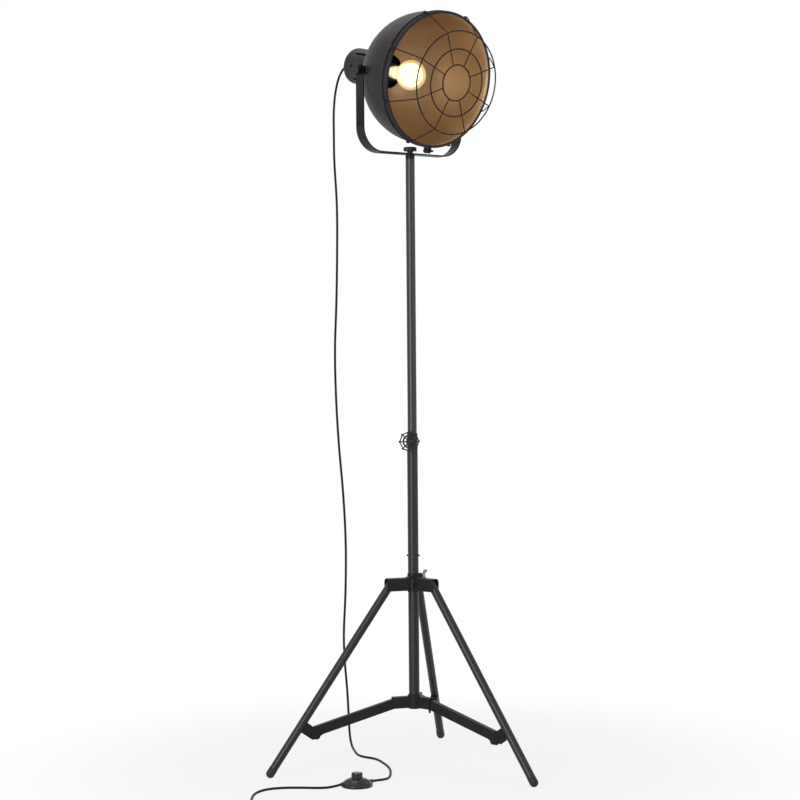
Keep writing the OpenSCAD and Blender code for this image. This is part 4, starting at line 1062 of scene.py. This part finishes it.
def makeYoke():
    # one flat steel strap bent up into two arms: half is drawn out, bent and mirrored
    half, thick, flat, bend = yokeSet["half"], yokeSet["thick"], yokeSet["flat"], yokeSet["bend"]
    bm = bmesh.new()
    corners = [(-half, 0, 0), (half, 0, 0), (half, 0, thick), (-half, 0, thick)]
    start = bm.faces.new([bm.verts.new(corner) for corner in corners])
    last = pullFaces(bm, [start], (0, flat, 0))[1]
    bent = bmesh.ops.spin(
        bm, geom=last, cent=(0, flat, bend), axis=(1, 0, 0), dvec=(0, 0, 0), angle=math.pi / 2, steps=20,
        use_duplicate=False)
    last = [part for part in bent["geom_last"] if isinstance(part, bmesh.types.BMFace)]
    tops = pullFaces(bm, last, (0, 0, yokeSet["armTop"] - bend))[0]
    ends = [edge for edge in bm.edges if all(vert in tops for vert in edge.verts)]
    across = [edge for edge in ends if abs(edge.verts[0].co.x - edge.verts[1].co.x) < 0.01]
    roundEdges(bm, across, half - 0.02, 14)
    middle = [face for face in bm.faces if all(abs(vert.co.y) < 0.01 for vert in face.verts)]
    bmesh.ops.delete(bm, geom=middle, context="FACES")
    bmesh.ops.mirror(bm, geom=allOf(bm), axis="Y", merge_dist=0.01)
    bmesh.ops.recalc_face_normals(bm, faces=bm.faces)
    keepPiece("shadeYoke", soften(bm, yokeSet["edge"], 3, 50), yokeFrame, "yoke", "blackPaint", ["yoke"])


knobSet = {
    # necks and heads by their radius, start and end
    "flutes": 28,
    "fluteDeep": 0.45,
    "neck": (6.75, 3.1, 8.5),
    "head": (15, 8.5, 17.5),
    "sideNeck": (7, 146.8, 150.5),
    "sideHead": (13, 150.5, 160.5),
}


def knobShape(neck, head):
    # moulded knob: short neck, head with shallow finger flutes and a dished face
    radius, low, high = head
    stub = [(neck[1], 0), (neck[1], neck[0]), (low - 0.2, neck[0]), (low - 0.2, 0)]
    bm = turnedShape(stub, 48, closed=False)
    outline = [(low, 0), (low, radius - 0.7), (low + 0.7, radius), (high - 1.2, radius)]
    outline += [(high - 0.3, radius - 0.7), (high, radius - 1.6), (high, radius - 3.2)]
    outline += [(high - 0.7, radius - 4.4), (high - 0.7, 0)]
    disc = turnedShape(outline, knobSet["flutes"] * 4, closed=False)
    for vert in disc.verts:
        # every fourth line of the rim is pressed in, and the lines beside it half as deep
        if math.hypot(vert.co.y, vert.co.z) > radius - 0.8:
            wave = 0.5 - 0.5 * math.cos(math.atan2(vert.co.z, vert.co.y) * knobSet["flutes"])
            vert.co.yz = vert.co.yz * (1 - knobSet["fluteDeep"] * wave / radius)
    return addShape(bm, disc)


def makeKnobs():
    knob = knobShape(knobSet["neck"], knobSet["head"])
    keepPiece("yokeKnob", knob, yokeFrame @ upright, "yoke_knob", "plastic", ["yoke_knob"], 28)
    for side, flip in (("Left", 90), ("Right", -90)):
        node = "pivot_knob_" + side.lower()
        knob = knobShape(knobSet["sideNeck"], knobSet["sideHead"])
        place = yokeFrame @ moved(0, 0, yokeSet["armUp"]) @ turned("Z", flip)
        keepPiece("tiltKnob" + side, knob, place, node, "plastic", [node], 28)


makeYoke()
makeKnobs()
print("yoke and knobs made")


shadeSet = {
    "radius": 149,
    "centre": 65,
    "straight": 20,
    "mouth": 106,
    "backRadius": 41.5,
    "backLip": (0.4, 2.6),    # the turned-in edge at the back
    "wall": 1.2,
    "steps": 128,
}


def makeShade():
    # spun steel bowl: the outside is one curve and the sheet is thickened inwards, bronze on that side
    radius, centre = shadeSet["radius"], shadeSet["centre"]
    back = math.degrees(math.asin(shadeSet["backRadius"] / radius))
    curve = arcPoints(centre, 0, radius, 180 - back, 90, 40)
    curve = [(curve[0][0] + shadeSet["backLip"][0], curve[0][1] - shadeSet["backLip"][1])] + curve
    curve += [(centre + shadeSet["straight"], radius), (shadeSet["mouth"], radius)]
    bm = turnedSheet(curve, shadeSet["steps"])
    shade = keepPiece("shadeBowl", bm, headFrame, "head", ["shadePaint", "bronze"], ["shade"], 40, even=False)
    outside = shade.data.polygons[0]
    if outside.normal.dot(outside.center - headFrame @ Vector((centre, 0, 0))) < 0:
        shade.data.flip_normals()
    sheet = shade.modifiers.new("sheet", "SOLIDIFY")
    sheet.thickness = shadeSet["wall"] / 1000
    sheet.offset = -1
    sheet.material_offset = 1
    sheet.use_even_offset = True


bandSet = {
    "low": 88.5,
    "high": 107.5,
    "seat": 149.2,
    "bead": 154,
    "backBead": 2,      # radius of each bead
    "frontBead": 3,
    "groove": 150.7,
    "grooveIn": (4.4, 6.4),    # the groove from the back and from the front of the band
    "lip": 147.5,
    "lipThick": 1.5,
    "gap": 2.2,
    "gapRadius": 150,    # where half the gap is measured
    "earHalf": 6,
    "earThick": 3,
    "ear": [(91.5, -151), (91.5, -164), (94.5, -167), (101.5, -167), (104.5, -164), (104.5, -151)],
    "boltAt": (98, 0, -161),
    "bolt": [
        (-9.5, 0), (-9.5, 3.4), (-8.7, 4.4), (-7.6, 4.6), (-6, 4.6), (-6, 2.5), (16, 2.5), (17, 1.8),
        (17, 0)],
    "thread": [(0, 2.3), (0.5, 2.75), (1, 2.3)],
    "threads": 5,
    "threadFrom": 10.6,
    "pitch": 1.1,
    "nut": [(6.1, 0), (6.1, 4.2), (6.5, 4.7), (9.5, 4.7), (9.9, 4.2), (9.9, 0)],
}


def makeBand():
    # rolled rim band with two raised beads, split at the bottom and drawn together by a bolt through two ears
    low, high, groove = bandSet["low"], bandSet["high"], bandSet["groove"]
    small, big = bandSet["backBead"], bandSet["frontBead"]
    outline = [(low, bandSet["seat"])] + arcPoints(low + small, bandSet["bead"] - small, small, 180, 0, 8)
    outline += [(low + bandSet["grooveIn"][0], groove), (high - bandSet["grooveIn"][1], groove)]
    outline += arcPoints(high - big, bandSet["bead"] - big, big, 180, 0, 10) + [(high, bandSet["lip"])]
    outline += [(high - bandSet["lipThick"], bandSet["lip"]), (high - bandSet["lipThick"], bandSet["seat"])]
    bm = bmesh.new()
    verts = [bm.verts.new((along, 0, -out)) for along, out in outline]
    half = bandSet["gap"] / bandSet["gapRadius"]
    bmesh.ops.rotate(bm, cent=(0, 0, 0), matrix=Matrix.Rotation(half, 3, "X"), verts=verts)
    bmesh.ops.spin(
        bm, geom=[bm.faces.new(verts)], cent=(0, 0, 0), axis=(1, 0, 0), dvec=(0, 0, 0),
        angle=math.tau - 2 * half, steps=144, use_duplicate=False)
    bmesh.ops.triangulate(bm, faces=[face for face in bm.faces if len(face.verts) > 4])
    for flip in (1, -1):
        ear = plateShape(bandSet["ear"], bandSet["earThick"], 0.5)
        addShape(bm, ear, moved(0, flip * (bandSet["earHalf"] - bandSet["earThick"] / 2), 0))
    keepPiece("rimBand", bm, headFrame, "head", "shadePaint", ["rim_band"], 30)
    bolt = turnedShape(bandSet["bolt"], 32, closed=False)
    for turn in range(bandSet["threads"]):
        at = bandSet["threadFrom"] + turn * bandSet["pitch"]
        addShape(bolt, turnedShape(shifted(bandSet["thread"], at), 20))
    addShape(bolt, turnedShape(bandSet["nut"], 6, closed=False))
    boltPlace = headFrame @ moved(*bandSet["boltAt"]) @ sideways
    keepPiece("bandBolt", bolt, boltPlace, "head", "steel", ["band_bolt"])


guardSet = {
    "face": 167.6,
    "rings": (40, 75, 115),
    "wire": 1.6,
    "wires": 8,
    "turn": 22.5,
    "legFace": 166.6,
    "legWire": 1.3,
    "legFoot": 156.5,
    "legBend": 106,     # where a wire turns down onto the band
    "legLow": 94,
    "clipWide": 8,
    "clip": [
        (-4, 153), (-4, 154.8), (-2.6, 155.2), (-2.6, 158.2), (-1.2, 159.3),
        (1.2, 159.3), (2.6, 158.2), (2.6, 155.2), (4, 154.8), (4, 153)],
}


def guardWire():
    # from the inner ring out over the rings, bent back and bent again onto the band
    inner, outer = guardSet["rings"][0], guardSet["rings"][-1]
    face, foot, bend = guardSet["legFace"], guardSet["legFoot"], guardSet["legBend"]
    slope = Vector((bend - face, foot - outer)).normalized()
    route = [(face, inner - 0.6), (face, outer - 6), (face, outer - 2.5)]
    for far, lift in ((1.5, 0.3), (5, 0), (30, 0)):
        route.append((face + slope.x * far - lift, outer + slope.y * far))
    for far in (5, 1.2):
        route.append((bend - slope.x * far, foot - slope.y * far))
    route += [(bend - 2.5, foot), (bend - 6, foot), (guardSet["legLow"], foot)]
    return sweptTube(smoothRoute([(along, 0, out) for along, out in route], 3), guardSet["legWire"], 10)


def makeGuard():
    # wire guard: three rings on eight bent wires, each held by a small bent saddle
    bm, clips = bmesh.new(), bmesh.new()
    for ring in guardSet["rings"]:
        addShape(bm, turnedShape(arcPoints(guardSet["face"], ring, guardSet["wire"], 0, 330, 11), 120))
    for i in range(guardSet["wires"]):
        around = turned("X", guardSet["turn"] + 360 / guardSet["wires"] * i)
        addShape(bm, guardWire(), around)
        clip = plateShape(guardSet["clip"], guardSet["clipWide"], 0.35)
        addShape(clips, clip, around @ moved(guardSet["legLow"] + guardSet["clipWide"] / 2, 0, 0) @ sideways)
    stands = ["guard_face", "guard_legs"]
    keepPiece("wireGuard", bm, headFrame, "head", "guardPaint", stands, 50, even=False)
    keepPiece("guardClips", clips, headFrame, "head", "shadePaint", ["guard_clips"])


makeShade()
makeBand()
makeGuard()
print("shade, band and guard made")


housingSet = {
    "radius": 42,
    "front": -78.1,
    "back": -196.5,
    "edge": 3,
    "wall": 1.5,
    "hole": 5,
    "seat": 12,         # flat for the cord gland
    "ribs": (-92, -180),
    "rib": [(2.2, 0), (1.1, -0.8), (-1.1, -0.8), (-2.2, 0)],
    "slots": 8,
    "slotLow": -169.5,
    "slotHigh": -99.5,
    "slotHalf": 3,
}


def facesNear(bm, low, high, outward, across, half):
    # faces of the can between two heights, on its outward side and no further than half across
    found = []
    for face in bm.faces:
        spot = face.calc_center_median()
        outside = spot.dot(outward) > housingSet["radius"] - 3
        if outside and low < spot.x < high and abs(spot.dot(across)) < half:
            found.append(face)
    return found


def cutSlots(bm):
    low, high, half = housingSet["slotLow"], housingSet["slotHigh"], housingSet["slotHalf"]
    for end in (low, high):
        bmesh.ops.bisect_plane(bm, geom=allOf(bm), plane_co=(end, 0, 0), plane_no=(1, 0, 0), dist=0.001)
    gone = []
    for i in range(housingSet["slots"]):
        angle = math.tau / housingSet["slots"] * i
        outward = Vector((0, math.sin(angle), math.cos(angle)))
        across = Vector((0, math.cos(angle), -math.sin(angle)))
        for offset in (-1, -0.87, -0.5, 0, 0.5, 0.87, 1):
            near = facesNear(bm, low - 1, high + 1, outward, across, housingSet["radius"])
            geom = list({part for face in near for part in (*face.verts, *face.edges, face)})
            line = across * offset * half
            bmesh.ops.bisect_plane(bm, geom=geom, plane_co=line, plane_no=across, dist=0.001)
        slot = facesNear(bm, low, high, outward, across, half)
        gone += slot
        for vert in {vert for face in slot for vert in face.verts}:
            aside = min(1, abs(vert.co.dot(across)) / half)
            inset = half * (1 - math.sqrt(1 - aside * aside))    # the punch had round ends
            vert.co.x += inset if vert.co.x < low + 0.01 else -inset if vert.co.x > high - 0.01 else 0
    bmesh.ops.delete(bm, geom=gone, context="FACES")


def makeHousing():
    # drawn steel can behind the shade, with long cooling slots and two rolled grooves
    radius, back, edge = housingSet["radius"], housingSet["back"], housingSet["edge"]
    outline = [(housingSet["front"], radius)]
    for rib in housingSet["ribs"]:
        outline += [(rib + along, radius + out) for along, out in housingSet["rib"]]
    outline += [(back + edge - x, radius - edge + z) for x, z in arcPoints(0, 0, edge, 90, 0, 6)]
    outline += [(back, housingSet["seat"]), (back, housingSet["hole"])]
    bm = turnedSheet(outline, 128)
    cutSlots(bm)
    bmesh.ops.recalc_face_normals(bm, faces=bm.faces)
    walls = (face for face in bm.faces if abs(face.normal.x) < 0.1)
    wall = next(face for face in walls if math.hypot(*face.calc_center_median().yz) > radius - 0.5)
    if wall.normal.yz.dot(wall.calc_center_median().yz) < 0:
        bmesh.ops.reverse_faces(bm, faces=bm.faces)
    bmesh.ops.solidify(bm, geom=bm.faces[:], thickness=housingSet["wall"])
    keepPiece("socketHousing", bm, headFrame, "head", "shadePaint", ["socket_housing"], 32)


holderSet = {
    "back": [(-126.5, 2.8), (-126.5, 8), (-112, 9)],
    "radius": 19.5,    # of the skirt, whose outlines start from it
    "skirtBack": [(-106, -2), (-104, -0.6)],
    "ribs": 9,
    "ribsFrom": -100,
    "ribGap": 4,
    "rib": [(0, -0.6), (0.6, 0), (2.2, 0), (2.8, -0.6)],
    "skirtFront": [(-61.5, 0), (-59.3, 0), (-58.5, -0.8)],
    "mouth": [(-58.5, 15.6), (-59.5, 14.2), (-88.6, 14.2), (-88.6, 2.8)],
    "plateFit": 0.1,
    "plate": (-98.5, -97.3),
    "plateRim": [(-97.3, 38.4), (-93.5, 39.6), (-93.5, 40.4), (-98.5, 40.4)],
}


def makeHolder():
    # phenolic lamp holder with a ribbed skirt, on a pressed plate that closes the can towards the shade
    radius = holderSet["radius"]
    skirt = holderSet["skirtBack"][:]
    for i in range(holderSet["ribs"]):
        skirt += shifted(holderSet["rib"], holderSet["ribsFrom"] + i * holderSet["ribGap"])
    skirt = [(along, radius + out) for along, out in skirt + holderSet["skirtFront"]]
    bm = turnedShape(holderSet["back"] + skirt + holderSet["mouth"], 72)
    keepPiece("lampHolder", bm, headFrame, "head", "plastic", ["lamp_holder"], 30)
    inner = [(along, radius + holderSet["plateFit"]) for along in holderSet["plate"]]
    plate = turnedShape(inner + holderSet["plateRim"], 96, edge=0.3)
    keepPiece("holderPlate", plate, headFrame, "head", "blackPaint")


bulbSet = {
    "globe": 34.5,
    "middle": 6,
    "wall": 0.9,
    "neck": [
        (-61.5, 13.2), (-57.7, 13.2), (-54.5, 14.9), (-48, 15.3), (-40, 15.5), (-34, 16.4), (-29.5, 18.2)],
    "inside": [(-61.5, 13.2), (-48, 15.3), (-40, 15.5), (-32, 17.5)],    # before the wall comes off
    "core": 27.5,
    "coreNeck": [(-59, 0), (-59, 9), (-50, 12.4), (-40, 13.2), (-31, 15.5)],
    "capBack": [(-88, 0), (-88, 4), (-85.5, 9), (-84, 11.8)],
    "thread": [(0, 12.2), (0.9, 13.1), (1.8, 13.1), (2.7, 12.2)],
    "threads": 5,
    "threadFrom": -83,
    "pitch": 3.6,
    "capFront": [(-64, 13.1), (-61.6, 13.1), (-61.6, 0)],
}


def makeBulb():
    # clear globe lamp, lit: a thin blown wall, the glowing core inside it and the threaded cap
    globe, middle, wall = bulbSet["globe"], bulbSet["middle"], bulbSet["wall"]
    outline = bulbSet["neck"] + arcPoints(middle, 0, globe, 148, 0, 30)
    inner = [(along, out - wall) for along, out in bulbSet["inside"]]
    inner += arcPoints(middle, 0, globe - wall, 148, 0, 30)
    bm = turnedShape(outline + inner[::-1], 72)
    keepPiece("globeBulb", bm, headFrame, "head", "bulb", ["bulb_glass"], 60, even=False)
    core = bulbSet["coreNeck"] + arcPoints(middle - 1, 0, bulbSet["core"], 143, 0, 24)
    bm = turnedShape(core, 56, closed=False)
    keepPiece("bulbGlow", bm, headFrame, "head", "glow", smooth=60, even=False)
    cap = bulbSet["capBack"][:]
    for turn in range(bulbSet["threads"]):
        cap += shifted(bulbSet["thread"], bulbSet["threadFrom"] + turn * bulbSet["pitch"])
    bm = turnedShape(cap + bulbSet["capFront"], 48, closed=False)
    keepPiece("bulbCap", bm, headFrame, "head", "brass", ["bulb_base"], 50)


pivotSet = {
    "sink": 0.5,
    # from inside the bowl's wall: a flared foot, the boss and its stud
    "outline": [
        (130, 0), (130, 12), (132.5, 11), (134, 10), (142.7, 10), (143.2, 9.5), (143.2, 3.95),
        (156.5, 3.95), (156.5, 0)],
}


def makePivots():
    bm = bmesh.new()
    bowl = shadeSet["radius"] - pivotSet["sink"]
    for flip in (90, -90):
        boss = turnedShape(pivotSet["outline"], 48, closed=False)
        bmesh.ops.rotate(boss, cent=(0, 0, 0), matrix=turned("Z", flip).to_3x3(), verts=boss.verts)
        for vert in boss.verts:
            # the foot of each boss is cut to the round of the bowl
            reach = math.sqrt(bowl ** 2 - (vert.co.x - shadeSet["centre"]) ** 2 - vert.co.z ** 2)
            if abs(vert.co.y) < reach:
                vert.co.y = math.copysign(reach, vert.co.y)
        addShape(bm, boss)
    keepPiece("shadePivots", bm, headFrame, "head", "blackPaint", ["pivot_bosses"])


def dressRest():
    # the few CAD parts that stay as they are: hidden sleeves and the clamp screw
    for node, finish in (("joint_sleeve", "steel"), ("mast_foot", "plastic"), ("clamp_screw", "steel")):
        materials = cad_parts[node].data.materials
        materials.clear()
        materials.append(finishes[finish][1])


makeHousing()
makeHolder()
makeBulb()
makePivots()
dressRest()
print("housing, holder and bulb made")

bpy.context.view_layer.update()
